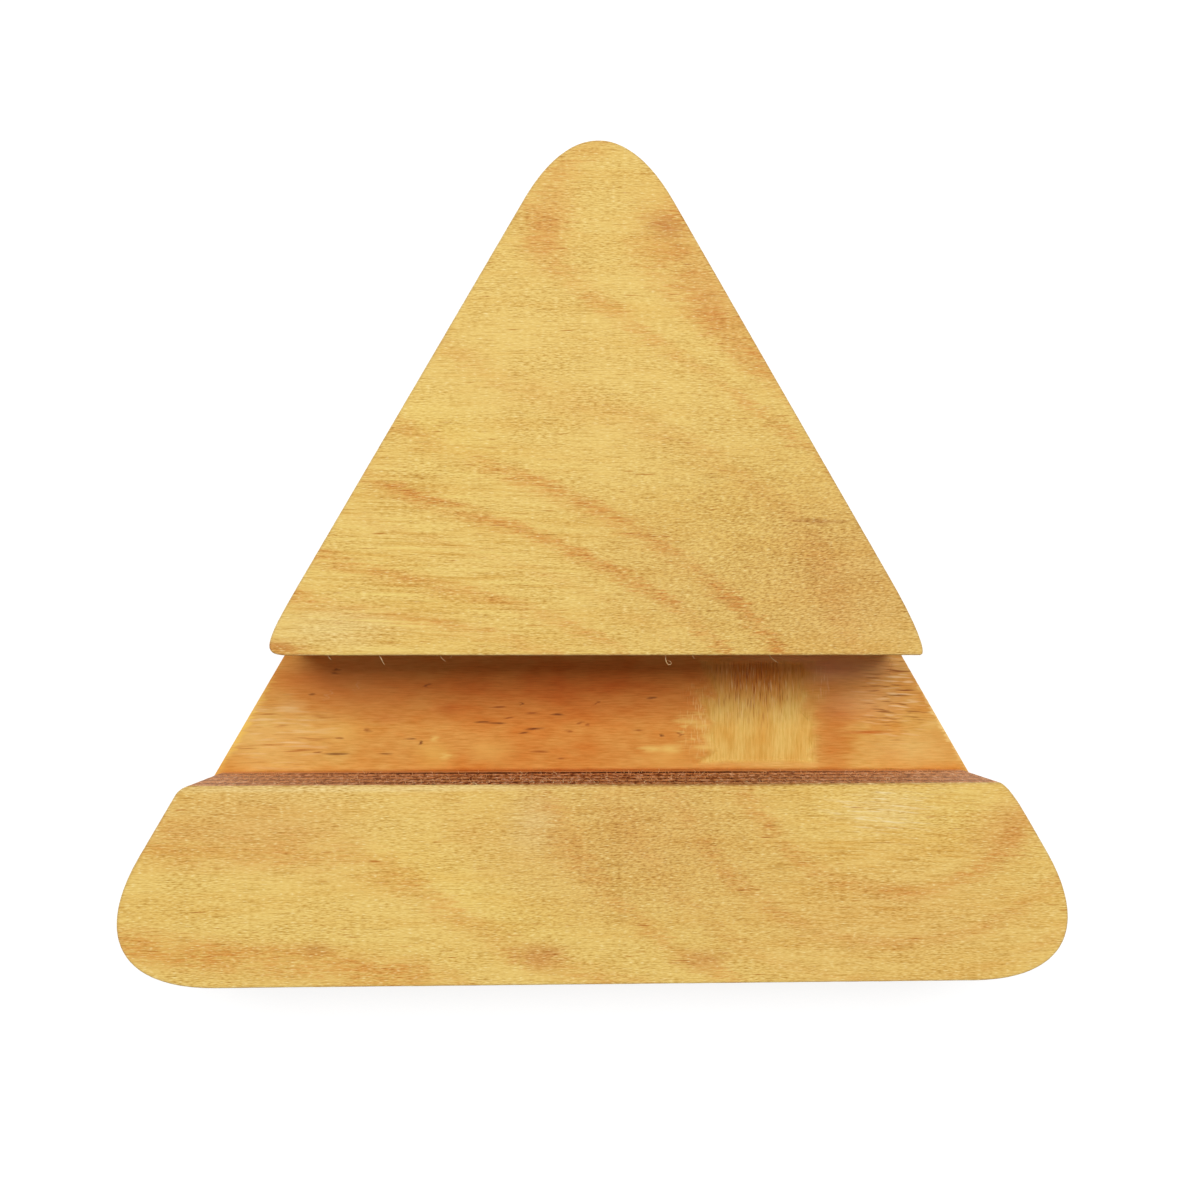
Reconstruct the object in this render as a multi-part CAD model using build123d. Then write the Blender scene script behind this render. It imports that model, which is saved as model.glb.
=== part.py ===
from build123d import *
from dataclasses import dataclass
import math
import os

# Slotted triangular block of birch plywood, built up ply by ply.
#
# Frame, in millimetres: X runs along the groove, +Y points to the apex and +Z is the front face's
# outward normal. The origin is the centre of the back face's bounding box, so the block lies on
# the XY plane. Plies are numbered from the front face: odd ones have their grain along X, even
# ones along Y.

# ---------------------------------------------------------------- driving dimensions

# Outline of the block.
side_length = 110.0             # side of the equilateral triangle between its sharp corners
tip_reach = 15.6                # how far from its sharp corner a tip's rounding begins
tip_fullness = 0.85             # 0.5 would round a tip like a circle, more makes it pointed
arris_radius = 0.15             # sanded round-over of the arrises on the two outer faces

# Make-up of the board.
face_thickness = 1.3            # outer veneers, sanded a little thinner than the core's
core_thickness = 1.4            # each inner ply
core_count = 11                 # inner plies

# Routed groove.
groove_width = 13.35            # wall to wall
bar_height = 20.8               # from the base edge to the groove's near wall
severed_count = 8               # plies that the groove cuts in two, the face veneer first
floor_skin = 0.25               # what the cutter leaves of the next ply, as the groove's floor

# Corners where the groove runs out through the sloping sides, each rounded by hand: how far the
# rounding reaches along the side, how far along the wall, and how full it is.
upper_left_rise = 8.2
upper_left_run = 3.2
upper_left_fullness = 1.85
upper_right_rise = 9.0
upper_right_run = 1.5
upper_right_fullness = 0.8
lower_left_drop = 1.1
lower_left_run = 1.0
lower_left_fullness = 0.65
lower_right_drop = 3.9
lower_right_run = 0.9
lower_right_fullness = 0.85

# Place where the cutter has gone through that skin, so that the cross ply below shows.
breakthrough_offset = 19.8      # from the block's centre line
breakthrough_length = 14.4
breakthrough_margin = 0.7       # skin left along each wall
breakthrough_ripple = 0.45      # how far the torn border wanders inwards

# ---------------------------------------------------------------- derived places

triangle_height = side_length * math.sqrt(3) / 2
block_height = triangle_height - tip_reach * math.cos(math.pi / 6) / (1 + tip_fullness)
block_thickness = 2 * face_thickness + core_count * core_thickness
ply_count = core_count + 2

base_y = -block_height / 2
groove_near_y = base_y + bar_height
groove_far_y = groove_near_y + groove_width
groove_center_y = (groove_near_y + groove_far_y) / 2

# ---------------------------------------------------------------- plans, seen from the front


@dataclass(frozen=True)
class Corner:
    """A corner of a plan, which a conic curve rounds.

    before and after say how far from the sharp corner the curve begins and ends, on the side that
    leads to the corner and on the one that leaves it, going round counterclockwise. fullness is
    the conic's weight: the more, the closer the curve comes to the sharp corner.
    """

    x: float
    y: float
    before: float
    after: float
    fullness: float

    @property
    def place(self) -> Vector:
        """Where the sharp corner would be."""
        return Vector(self.x, self.y)


def rounded_polygon(*corners: Corner) -> Sketch:
    """A polygon with every corner rounded."""
    curves = []
    for index, corner in enumerate(corners):
        back = (corners[index - 1].place - corner.place).normalized()
        ahead = (corners[(index + 1) % len(corners)].place - corner.place).normalized()
        start = corner.place + back * corner.before
        end = corner.place + ahead * corner.after
        curves.append(Bezier(start, corner.place, end, weights=[1, corner.fullness, 1]))
    border = Curve()
    for curve, following in zip(curves, curves[1:] + curves[:1]):
        border += [curve, Line(curve @ 1, following @ 0)]
    return make_face(border)


def tip(x: float, y: float) -> Corner:
    """One of the block's three tips."""
    return Corner(x, y, tip_reach, tip_reach, tip_fullness)


def half_width(y: float) -> float:
    """How far the sloping sides are from the centre line at a height."""
    return side_length / 2 * (1 - (y - base_y) / triangle_height)


left_tip = tip(-side_length / 2, base_y)
right_tip = tip(side_length / 2, base_y)
apex = tip(0, base_y + triangle_height)


def outline() -> Sketch:
    """The whole block: an equilateral triangle with rounded tips."""
    return rounded_polygon(left_tip, right_tip, apex)


def upper_plan() -> Sketch:
    """What stands above the groove: a smaller triangle."""
    half = half_width(groove_far_y)
    return rounded_polygon(
        Corner(-half, groove_far_y, upper_left_rise, upper_left_run, upper_left_fullness),
        Corner(half, groove_far_y, upper_right_run, upper_right_rise, upper_right_fullness),
        apex,
    )


def lower_plan() -> Sketch:
    """What stands below the groove: a tapered bar."""
    half = half_width(groove_near_y)
    return rounded_polygon(
        left_tip,
        right_tip,
        Corner(half, groove_near_y, lower_right_drop, lower_right_run, lower_right_fullness),
        Corner(-half, groove_near_y, lower_left_run, lower_left_drop, lower_left_fullness),
    )


def breakthrough_plan() -> Sketch:
    """The opening torn in the groove's floor: nearly a rectangle, with a border that wanders."""
    half_length = breakthrough_length / 2
    half_height = groove_width / 2 - breakthrough_margin
    bluntness = 0.45
    point_count = 12
    border = []
    for point in range(point_count):
        angle = 2 * math.pi * point / point_count
        across = math.copysign(abs(math.cos(angle)) ** bluntness, math.cos(angle))
        up = math.copysign(abs(math.sin(angle)) ** bluntness, math.sin(angle))
        inset = breakthrough_ripple * (1 + math.sin(3.7 * point)) / 2
        border.append((across * (half_length - inset), up * (half_height - inset)))
    opening = make_face(Spline(*border, periodic=True))
    return Pos(breakthrough_offset, groove_center_y) * opening


# ---------------------------------------------------------------- plies


def grain(number: int) -> str:
    """Whether a ply's grain runs along the groove or across it."""
    return "long" if number % 2 else "cross"


def thickness(number: int) -> float:
    """How thick a ply is."""
    return face_thickness if number in (1, ply_count) else core_thickness


def bottom_z(number: int) -> float:
    """How high a ply's lower side is above the back face."""
    return sum(thickness(below) for below in range(number + 1, ply_count + 1))


def ply(plan: Sketch, number: int) -> Part:
    """A ply of one thickness and one plan, at its own height."""
    return extrude(Pos(0, 0, bottom_z(number)) * plan, amount=thickness(number))


def ease(veneer: Part, face_z: float) -> Part:
    """Round over the arrises that a veneer has on an outer face of the block."""
    arrises = veneer.edges().group_by(lambda edge: round(abs(edge.center().Z - face_z), 3))[0]
    return fillet(arrises, arris_radius)


def severed_ply(plan: Sketch, number: int) -> Part:
    """One half of a ply that the groove cuts in two."""
    half = ply(plan, number)
    return ease(half, block_thickness) if number == 1 else half


def floor_ply(number: int) -> Part:
    """The ply that the groove ends in: a skin in the groove, worn through, and the rest whole."""
    skin_z = bottom_z(number)
    solid = extrude(Pos(0, 0, skin_z) * outline(), amount=floor_skin)
    upstand = core_thickness - floor_skin
    for plan in (upper_plan(), lower_plan()):
        solid += extrude(Pos(0, 0, skin_z + floor_skin) * plan, amount=upstand)
    return solid - extrude(Pos(0, 0, skin_z) * breakthrough_plan(), amount=core_thickness)


def whole_ply(number: int) -> Part:
    """A ply below the groove."""
    solid = ply(outline(), number)
    return ease(solid, 0) if number == ply_count else solid


# ---------------------------------------------------------------- the block

nodes = {}
for number in range(1, ply_count + 1):
    if number <= severed_count:
        name = "face_veneer" if number == 1 else f"{grain(number)}_ply_{number}"
        nodes[f"{name}_upper"] = severed_ply(upper_plan(), number)
        nodes[f"{name}_lower"] = severed_ply(lower_plan(), number)
    elif number == severed_count + 1:
        nodes[f"floor_ply_{number}"] = floor_ply(number)
    elif number < ply_count:
        nodes[f"{grain(number)}_ply_{number}"] = whole_ply(number)
    else:
        nodes["back_veneer"] = whole_ply(number)

os.makedirs("parts", exist_ok=True)
for name, solid in nodes.items():
    export_step(solid, f"parts/{name}.step")
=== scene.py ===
"""Slotted triangular stand of birch plywood: its plies, worn groove, splinters and studio.

Every ply of the CAD frame gets a detailed piece of the same plan. The groove's floor, which the
cutter left as a thin stained skin, is a piece of its own, and so are the fibres at the lips.
"""
import logging
import math
import random
from collections.abc import Iterable, Sequence
from dataclasses import dataclass
from enum import Enum
from typing import Any

import bmesh
import bpy
from mathutils import Matrix, Vector, noise


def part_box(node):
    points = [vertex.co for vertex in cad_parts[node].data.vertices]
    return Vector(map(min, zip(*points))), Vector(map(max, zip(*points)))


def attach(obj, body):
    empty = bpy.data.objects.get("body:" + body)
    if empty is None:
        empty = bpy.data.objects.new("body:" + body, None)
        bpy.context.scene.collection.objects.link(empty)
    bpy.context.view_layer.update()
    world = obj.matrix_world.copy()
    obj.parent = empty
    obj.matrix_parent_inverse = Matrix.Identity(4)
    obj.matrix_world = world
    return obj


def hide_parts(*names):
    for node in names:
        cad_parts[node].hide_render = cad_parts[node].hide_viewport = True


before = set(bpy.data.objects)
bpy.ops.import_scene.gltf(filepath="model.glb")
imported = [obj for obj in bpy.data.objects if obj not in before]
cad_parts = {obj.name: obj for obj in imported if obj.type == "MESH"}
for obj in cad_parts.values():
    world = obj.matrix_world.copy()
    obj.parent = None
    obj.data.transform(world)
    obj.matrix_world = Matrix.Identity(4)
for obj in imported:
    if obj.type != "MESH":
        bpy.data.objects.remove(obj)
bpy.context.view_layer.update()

log = logging.getLogger("stand")

MM = 0.001                      # the scene is in metres, and sizes here are written in millimetres
TO_MM = 1 / MM

# Plies are numbered from the front face, as in the CAD frame.
PLY_COUNT = 13
FLOOR_PLY = 9                   # the ply whose last skin is the groove's floor

# Attributes that the meshes hand to the materials.
OUTWARD = "outward"             # level direction out of the block at its edge
PLAN = "plan"                   # where an edge point lies on the uninset plan
RIM = "rim"                     # 1 at an arris, 0 a little inside a face
GLUE = "glue"                   # 1 at a glue line, 0 in a ply
END_GRAIN = "end_grain"         # 1 where an edge cuts straight across the fibres
SKIN = "skin"                   # 1 on whole floor skin, 0 where it is worn through


def srgb(code: str, alpha: float = 1.0) -> tuple[float, float, float, float]:
    """Turn a colour written as sRGB hex into the linear values that the nodes take.

    Args:
        code: the colour, such as "#E1BB67".
        alpha: its opacity.

    Returns:
        Linear red, green, blue, and the opacity.
    """
    parts = (int(code[place:place + 2], 16) / 255 for place in (1, 3, 5))
    red, green, blue = (c / 12.92 if c <= 0.04045 else ((c + 0.055) / 1.055) ** 2.4 for c in parts)
    return red, green, blue, alpha


def add(
    tree: bpy.types.NodeTree,
    kind: str,
    *feeds: Any,
    named: dict[str, Any] | None = None,
    **settings: Any,
) -> bpy.types.Node:
    """Add a node to a tree, with its settings and what feeds it.

    Args:
        tree: the tree that gets the node.
        kind: the node's type.
        feeds: what the node's inputs in use take, in order: a node, a socket, a value, or None.
        named: the same for inputs given by their names.
        settings: the node's own properties.

    Returns:
        The node.
    """
    node = tree.nodes.new(kind)
    for name, value in settings.items():
        setattr(node, name, value)
    in_use = [socket for socket in node.inputs if socket.enabled]
    pairs = list(zip(in_use, feeds))
    for name, feed in (named or {}).items():
        pairs.append((next(socket for socket in in_use if socket.name == name), feed))
    for socket, feed in pairs:
        if isinstance(feed, bpy.types.Node):
            feed = next(output for output in feed.outputs if output.enabled)
        if isinstance(feed, bpy.types.NodeSocket):
            tree.links.new(feed, socket)
        elif feed is not None:
            socket.default_value = feed
    return node


def clamped(value: float) -> float:
    """Keep a value from 0 to 1."""
    return min(max(value, 0.0), 1.0)


def shown(name: str, data: bpy.types.ID) -> bpy.types.Object:
    """Put an object into the scene, at the origin.

    Args:
        name: its name.
        data: its mesh, curve, light or camera.

    Returns:
        The object.
    """
    made = bpy.data.objects.new(name, data)
    bpy.context.scene.collection.objects.link(made)
    return made


def evaluated_mesh(source: bpy.types.Object) -> bpy.types.Mesh:
    """Keep what an object's modifiers or curves make as a plain mesh.

    Args:
        source: the object.

    Returns:
        The mesh.
    """
    bpy.context.view_layer.update()
    graph = bpy.context.evaluated_depsgraph_get()
    return bpy.data.meshes.new_from_object(source.evaluated_get(graph))


def hand_over(piece: bpy.types.Object, node: str = "") -> None:
    """Hang a finished piece on the root body, hide the CAD node it stands for, and report it.

    Args:
        piece: the piece.
        node: the CAD node that it stands for, if it does.
    """
    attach(piece, "root")
    if node:
        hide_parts(node)
    log.info("%s: %d faces", piece.name, len(piece.data.polygons))


# ---------------------------------------------------------------- patterns of the wood


class Grain(Enum):
    """Which way a ply's fibres run, as a unit vector."""

    LONG = (1.0, 0.0, 0.0)
    CROSS = (0.0, 1.0, 0.0)

    @staticmethod
    def of_ply(number: int) -> "Grain":
        """Odd plies run along the groove and even ones across it."""
        return Grain.LONG if number % 2 else Grain.CROSS

    def stretch(self, length: float, width: float) -> tuple[float, float, float]:
        """How many pattern cells there are to a millimetre along each axis."""
        along, across = 1 / length, 1 / width
        return tuple(along if axis else across for axis in self.value)


class Lay(Enum):
    """How a tone lies on the wood, as the mixing node's name for it."""

    STAIN = "MULTIPLY"          # soaks in and darkens; #FFFFFF changes nothing
    COAT = "MIX"                # covers the wood


@dataclass(frozen=True)
class Spot:
    """An oval place in the wood.

    Attributes:
        x, y: its middle, in mm.
        long_radius, short_radius: its reach, in mm.
        turn: how far its long side is turned from the X axis, in degrees.
    """

    x: float
    y: float
    long_radius: float
    short_radius: float
    turn: float


@dataclass(frozen=True)
class Swell(Spot):
    """A smooth rise or dip in the figure's growth rings.

    Attributes:
        rise: how many rings it lifts the field by.
    """

    rise: float


@dataclass(frozen=True)
class Patch(Spot):
    """A soft or sharp spot of another tone.

    Attributes:
        tint: the tone, as sRGB hex.
        strength: how much of the tone shows at its middle.
        lay: how the tone lies on the wood.
    """

    tint: str
    strength: float
    lay: Lay = Lay.STAIN


@dataclass(frozen=True)
class Streaks(Spot):
    """Fine lines of another tone in an oval place, all drawn out in one direction.

    Attributes:
        length, width: the size of one line, in mm.
        lean: the lines' direction, in degrees from the X axis.
        tint: their tone, as sRGB hex.
        low, high: the noise's value where they begin to show, and where they show fully.
        lay: how the tone lies on the wood.
        pattern: which noise they follow, so that two groups can lie beside each other.
    """

    length: float
    width: float
    lean: float
    tint: str
    low: float
    high: float
    lay: Lay = Lay.STAIN
    pattern: int = 0


def patches(tint: str, lay: Lay, *marks: tuple[float, ...]) -> tuple[Patch, ...]:
    """Make several patches of one tone.

    Args:
        tint: the tone, as sRGB hex.
        lay: how the tone lies on the wood.
        marks: each patch's x, y, long radius, short radius, turn and strength.

    Returns:
        The patches.
    """
    return tuple(Patch(*oval, tint, strength, lay) for *oval, strength in marks)


@dataclass(frozen=True)
class Ring:
    """A growth ring's dark latewood line.

    Attributes:
        level: the field's value on the line.
        depth: how dark the line is, from 0 to 1.
        width: how much of the field it takes up.
    """

    level: float
    depth: float
    width: float = 0.4


class Surface:
    """A wooden surface while it is painted: where it lies, and its colour so far.

    Attributes:
        tree: the material's tree.
        grain: which way the fibres run.
        seed: which of the possible patterns the surface has.
        place: the object's own coordinates in millimetres.
        colour: the last node of the colour so far.
    """

    line_seed = 20.0            # sets the noise of the fine lines apart from the fibres'

    def __init__(self, tree: bpy.types.NodeTree, grain: Grain, seed: float, tone: str) -> None:
        """Start with one tone.

        Args:
            tree: the material's tree.
            grain: which way the fibres run.
            seed: which of the possible patterns the surface has.
            tone: the wood's main colour, as sRGB hex.
        """
        self.tree = tree
        self.grain = grain
        self.seed = seed
        here = add(tree, "ShaderNodeTexCoord").outputs["Object"]
        self.place = add(tree, "ShaderNodeMapping", here, named={"Scale": (TO_MM,) * 3})
        self.colour: Any = srgb(tone)

    def attribute(self, name: str) -> bpy.types.NodeSocket:
        """Add a value that the mesh hands over."""
        return add(self.tree, "ShaderNodeAttribute", attribute_name=name).outputs["Fac"]

    def mound(self, spot: Spot, place: Any) -> bpy.types.Node:
        """Add a value that is 1 at a spot's middle and falls smoothly to 0 at its border.

        Args:
            spot: the spot.
            place: coordinates in mm.

        Returns:
            The value's node.
        """
        level = 1e4
        local = add(
            self.tree, "ShaderNodeMapping", place, (spot.x, spot.y, 0.0),
            (0.0, 0.0, math.radians(spot.turn)), (spot.long_radius, spot.short_radius, level),
            vector_type="TEXTURE",
        )
        cone = add(self.tree, "ShaderNodeTexGradient", local, gradient_type="SPHERICAL")
        return add(self.tree, "ShaderNodeMapRange", cone, interpolation_type="SMOOTHSTEP")

    def speckle(self, cells: Sequence[float], step: float, detail: float) -> bpy.types.Node:
        """Add noise.

        Args:
            cells: how many cells there are to a millimetre along each axis.
            step: what sets this noise apart from the surface's others.
            detail: how many finer layers it has.

        Returns:
            The noise node, of about 0 to 1.
        """
        drawn = add(self.tree, "ShaderNodeMapping", self.place, None, None, tuple(cells))
        return add(self.tree, "ShaderNodeTexNoise", drawn, self.seed + step, 1.0, detail, 0.6,
                   2.2, noise_dimensions="4D")

    def fibres(
        self, length: float, width: float, step: float = 0.0, detail: float = 2.0,
    ) -> bpy.types.Node:
        """Add noise drawn out along the grain, in cells of a length and a width in mm."""
        return self.speckle(self.grain.stretch(length, width), step, detail)

    def frayed(self, length: float, width: float, step: float, reach: float) -> bpy.types.Node:
        """Add coordinates that are shifted along the grain, fibre by fibre.

        Args:
            length: a fibre's length, in mm.
            width: its width, in mm.
            step: what sets this noise apart from the surface's others.
            reach: the largest shift, in mm.

        Returns:
            The coordinates' node.
        """
        shift = add(self.tree, "ShaderNodeMapRange", self.fibres(length, width, step), 0.0, 1.0,
                    -reach, reach)
        along = add(self.tree, "ShaderNodeVectorMath", self.grain.value,
                    named={"Scale": shift}, operation="SCALE")
        return add(self.tree, "ShaderNodeVectorMath", self.place, along, operation="ADD")

    def cover(self, share: Any, tint: str, lay: Lay) -> None:
        """Lay a tone on the colour, as far as a share from 0 to 1 says."""
        self.colour = add(self.tree, "ShaderNodeMix", share, self.colour, srgb(tint),
                          data_type="RGBA", blend_type=lay.value)

    def shade(
        self, pattern: Any, low: float, high: float, tint: str, lay: Lay = Lay.STAIN,
    ) -> None:
        """Lay a tone on the colour where a pattern's value passes from one level to another.

        Args:
            pattern: the value that says where.
            low: the pattern's value where the tone has no effect.
            high: the pattern's value where it has its full effect.
            tint: the tone, as sRGB hex.
            lay: how the tone lies on the wood.
        """
        share = add(self.tree, "ShaderNodeMapRange", pattern, low, high, 0.0, 1.0)
        self.cover(share, tint, lay)

    def patch(self, patches: Iterable[Patch], place: Any) -> None:
        """Lay patches of other tones on the colour.

        Args:
            patches: the patches.
            place: coordinates in mm.
        """
        for patch in patches:
            share = add(self.tree, "ShaderNodeMath", self.mound(patch, place), patch.strength,
                        operation="MULTIPLY")
            self.cover(share, patch.tint, patch.lay)

    def draw(self, lines: Iterable[Streaks]) -> None:
        """Draw groups of fine lines on the colour.

        Args:
            lines: the groups.
        """
        for group in lines:
            drawn = add(self.tree, "ShaderNodeMapping", self.place, None,
                        (0.0, 0.0, math.radians(group.lean)),
                        (group.length, group.width, group.length), vector_type="TEXTURE")
            wood = add(self.tree, "ShaderNodeTexNoise", drawn,
                       self.seed + self.line_seed + group.pattern, 1.0, 1.0, 0.5, 2.0,
                       noise_dimensions="4D")
            there = add(self.tree, "ShaderNodeMapRange", wood, group.low, group.high, 0.0, 1.0)
            share = add(self.tree, "ShaderNodeMath", there, self.mound(group, self.place),
                        operation="MULTIPLY")
            self.cover(share, group.tint, group.lay)


# ---------------------------------------------------------------- finishes


@dataclass(frozen=True)
class Finish:
    """What the wood's surfaces have in common: a painted colour over a slightly ribbed ground.

    Attributes:
        name: the material's name.
        seed: which of the possible patterns this surface has.
        tone: the wood's main colour.
        grain: which way the fibres run.
        roughness: the shader's roughness.
        gloss: the shader's specular level, low because the wood has soaked its oil up.
        relief: how far the fibres stand proud, in mm.
    """

    name: str
    seed: float
    tone: str = "#EBC972"
    grain: Grain = Grain.LONG
    roughness: float = 0.62
    gloss: float = 0.2
    relief: float = 0.012

    def surface(self, tree: bpy.types.NodeTree) -> Surface:
        """Start a surface of this wood."""
        return Surface(tree, self.grain, self.seed, self.tone)

    def paint(self, wood: Surface) -> Any:
        """Paint the surface.

        Args:
            wood: the surface.

        Returns:
            The node of its height.
        """
        raise NotImplementedError

    def build(self) -> bpy.types.Material:
        """Make the material.

        Returns:
            The material.
        """
        material = bpy.data.materials.new(self.name)
        material.use_nodes = True
        tree = material.node_tree
        wood = self.surface(tree)
        height = self.paint(wood)
        shader = tree.nodes["Principled BSDF"]
        tree.links.new(wood.colour.outputs["Result"], shader.inputs["Base Color"])
        shader.inputs["Roughness"].default_value = self.roughness
        shader.inputs["Specular IOR Level"].default_value = self.gloss
        bump = add(tree, "ShaderNodeBump", named={"Height": height, "Strength": 0.6,
                                                  "Distance": self.relief * MM})
        tree.links.new(bump.outputs["Normal"], shader.inputs["Normal"])
        return material


@dataclass(frozen=True)
class Veneer(Finish):
    """Rotary-cut birch veneer, sanded and oiled: honey yellow with soft brown growth rings.

    The peeling knife crosses each ring at a low angle, so the eye sees wide, wandering bands,
    and the fibres fray their borders into fine level streaks.

    Attributes:
        slope: how the ring field climbs to a mm along X and Y, and its value at the origin.
        swells: what bends the rings.
        rings: the dark lines, in rising order.
        patches: spots of other tones, among them a painted highlight along the near lip.
        lines: groups of fine lines.
        field_top: the highest value of the ring field.
    """

    slope: tuple[float, float, float] = (0.0, 0.1, 3.0)
    swells: tuple[Swell, ...] = ()
    rings: tuple[Ring, ...] = ()
    patches: tuple[Patch, ...] = ()
    lines: tuple[Streaks, ...] = ()
    field_top: float = 7.0

    def ring_field(self, wood: Surface, place: Any) -> bpy.types.Node:
        """Add the field whose level lines are the growth rings.

        Args:
            wood: the surface.
            place: coordinates in mm.

        Returns:
            The field's node.
        """
        tree = wood.tree
        along, across, base = self.slope
        climb = add(
            tree, "ShaderNodeVectorMath", place, (along, across, 0.0), operation="DOT_PRODUCT",
        ).outputs["Value"]
        level = add(tree, "ShaderNodeMath", climb, base, operation="ADD")
        for swell in self.swells:
            level = add(tree, "ShaderNodeMath", wood.mound(swell, place), swell.rise, level,
                        operation="MULTIPLY_ADD")
        return level

    def ring_lines(self, tree: bpy.types.NodeTree, level: Any) -> bpy.types.Node:
        """Add the lines: each darkens slowly from one side and ends more sharply on the other.

        Args:
            tree: the tree that gets them.
            level: the field's value.

        Returns:
            The node of their darkness.
        """
        ramp = add(
            tree, "ShaderNodeValToRGB",
            add(tree, "ShaderNodeMath", level, self.field_top, operation="DIVIDE"),
        )
        stops = ramp.color_ramp
        stops.interpolation = "EASE"
        for stop in stops.elements:
            stop.color = (0.0, 0.0, 0.0, 1.0)
        for ring in self.rings:
            for step, depth in ((-0.6, 0.0), (0.0, ring.depth), (0.4, 0.0)):
                edge = ring.level + step * ring.width
                stop = stops.elements.new(max(edge, 0.0) / self.field_top)
                stop.color = (depth, depth, depth, 1.0)
        return ramp

    def paint(self, wood: Surface) -> Any:
        """Paint rings, patches, fibres and vessels, and the toned rim.

        Args:
            wood: the surface.

        Returns:
            The node of its height.
        """
        tree = wood.tree
        # Fibres are about 1.5 mm long and 0.15 mm thick, and shift the ring lines along them.
        frayed = wood.frayed(1.6, 0.16, 0.0, 3.5)
        dark = self.ring_lines(tree, self.ring_field(wood, frayed))
        # A ring comes and goes along its length, and is made of dark dashes along the fibres.
        for cell, levels in (((7.0, 2.5, 2.0), (0.32, 0.64, 0.3, 1.0)),
                             ((1.3, 0.13, 4.0), (0.36, 0.66, 0.35, 1.6))):
            share = add(tree, "ShaderNodeMapRange", wood.fibres(*cell, 1.0), *levels)
            dark = add(tree, "ShaderNodeMath", share, dark, operation="MULTIPLY")
        wood.shade(dark, 0.0, 1.0, "#EEC8AA")
        # The arris is greyer and paler than the face, more so as it turns from facing up: partly
        # the sanded arris's own tone, partly painted shade where the edge turns from the light.
        wood.shade(wood.attribute(RIM), 0.1, 1.0, "#F2F2FA")
        normal = add(tree, "ShaderNodeNewGeometry").outputs["Normal"]
        facing = add(tree, "ShaderNodeSeparateXYZ", normal).outputs["Z"]
        upright = add(tree, "ShaderNodeMath", facing, operation="ABSOLUTE")
        wood.shade(upright, 0.95, 0.3, "#D6BE88", Lay.COAT)
        wood.patch(self.patches, frayed)
        # Slow drift of tone, in bands along the grain.
        wood.shade(wood.fibres(14.0, 1.6, 3.0), 0.45, 0.8, "#F9EEDA")
        # The wood's fibres: streaks 0.1 mm thick, short and dense in some places, long in others.
        dense = wood.fibres(6.0, 2.4, 6.0, 1.0)
        short = wood.fibres(0.6, 0.09, 7.0, 1.0)
        grains = add(tree, "ShaderNodeMath",
                     add(tree, "ShaderNodeMapRange", short, 0.46, 0.74, 0.0, 1.0),
                     add(tree, "ShaderNodeMapRange", dense, 0.35, 0.65, 0.45, 1.2),
                     operation="MULTIPLY")
        wood.shade(grains, 0.0, 1.0, "#D3BC8C")
        wood.shade(wood.fibres(3.4, 0.1, 8.0, 1.0), 0.52, 0.76, "#D8C494")
        # Pale fibres beside the dark ones: partly the wood's own tone, partly painted glints.
        wood.shade(short, 0.42, 0.2, "#F8E2A2", Lay.COAT)
        wood.draw(self.lines)
        # Vessels, cut open: sparse brown dashes, 1 to 3 mm long.
        wood.shade(wood.fibres(2.0, 0.13, 11.0, 0.0), 0.76, 0.86, "#D6B088")
        return short


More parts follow.
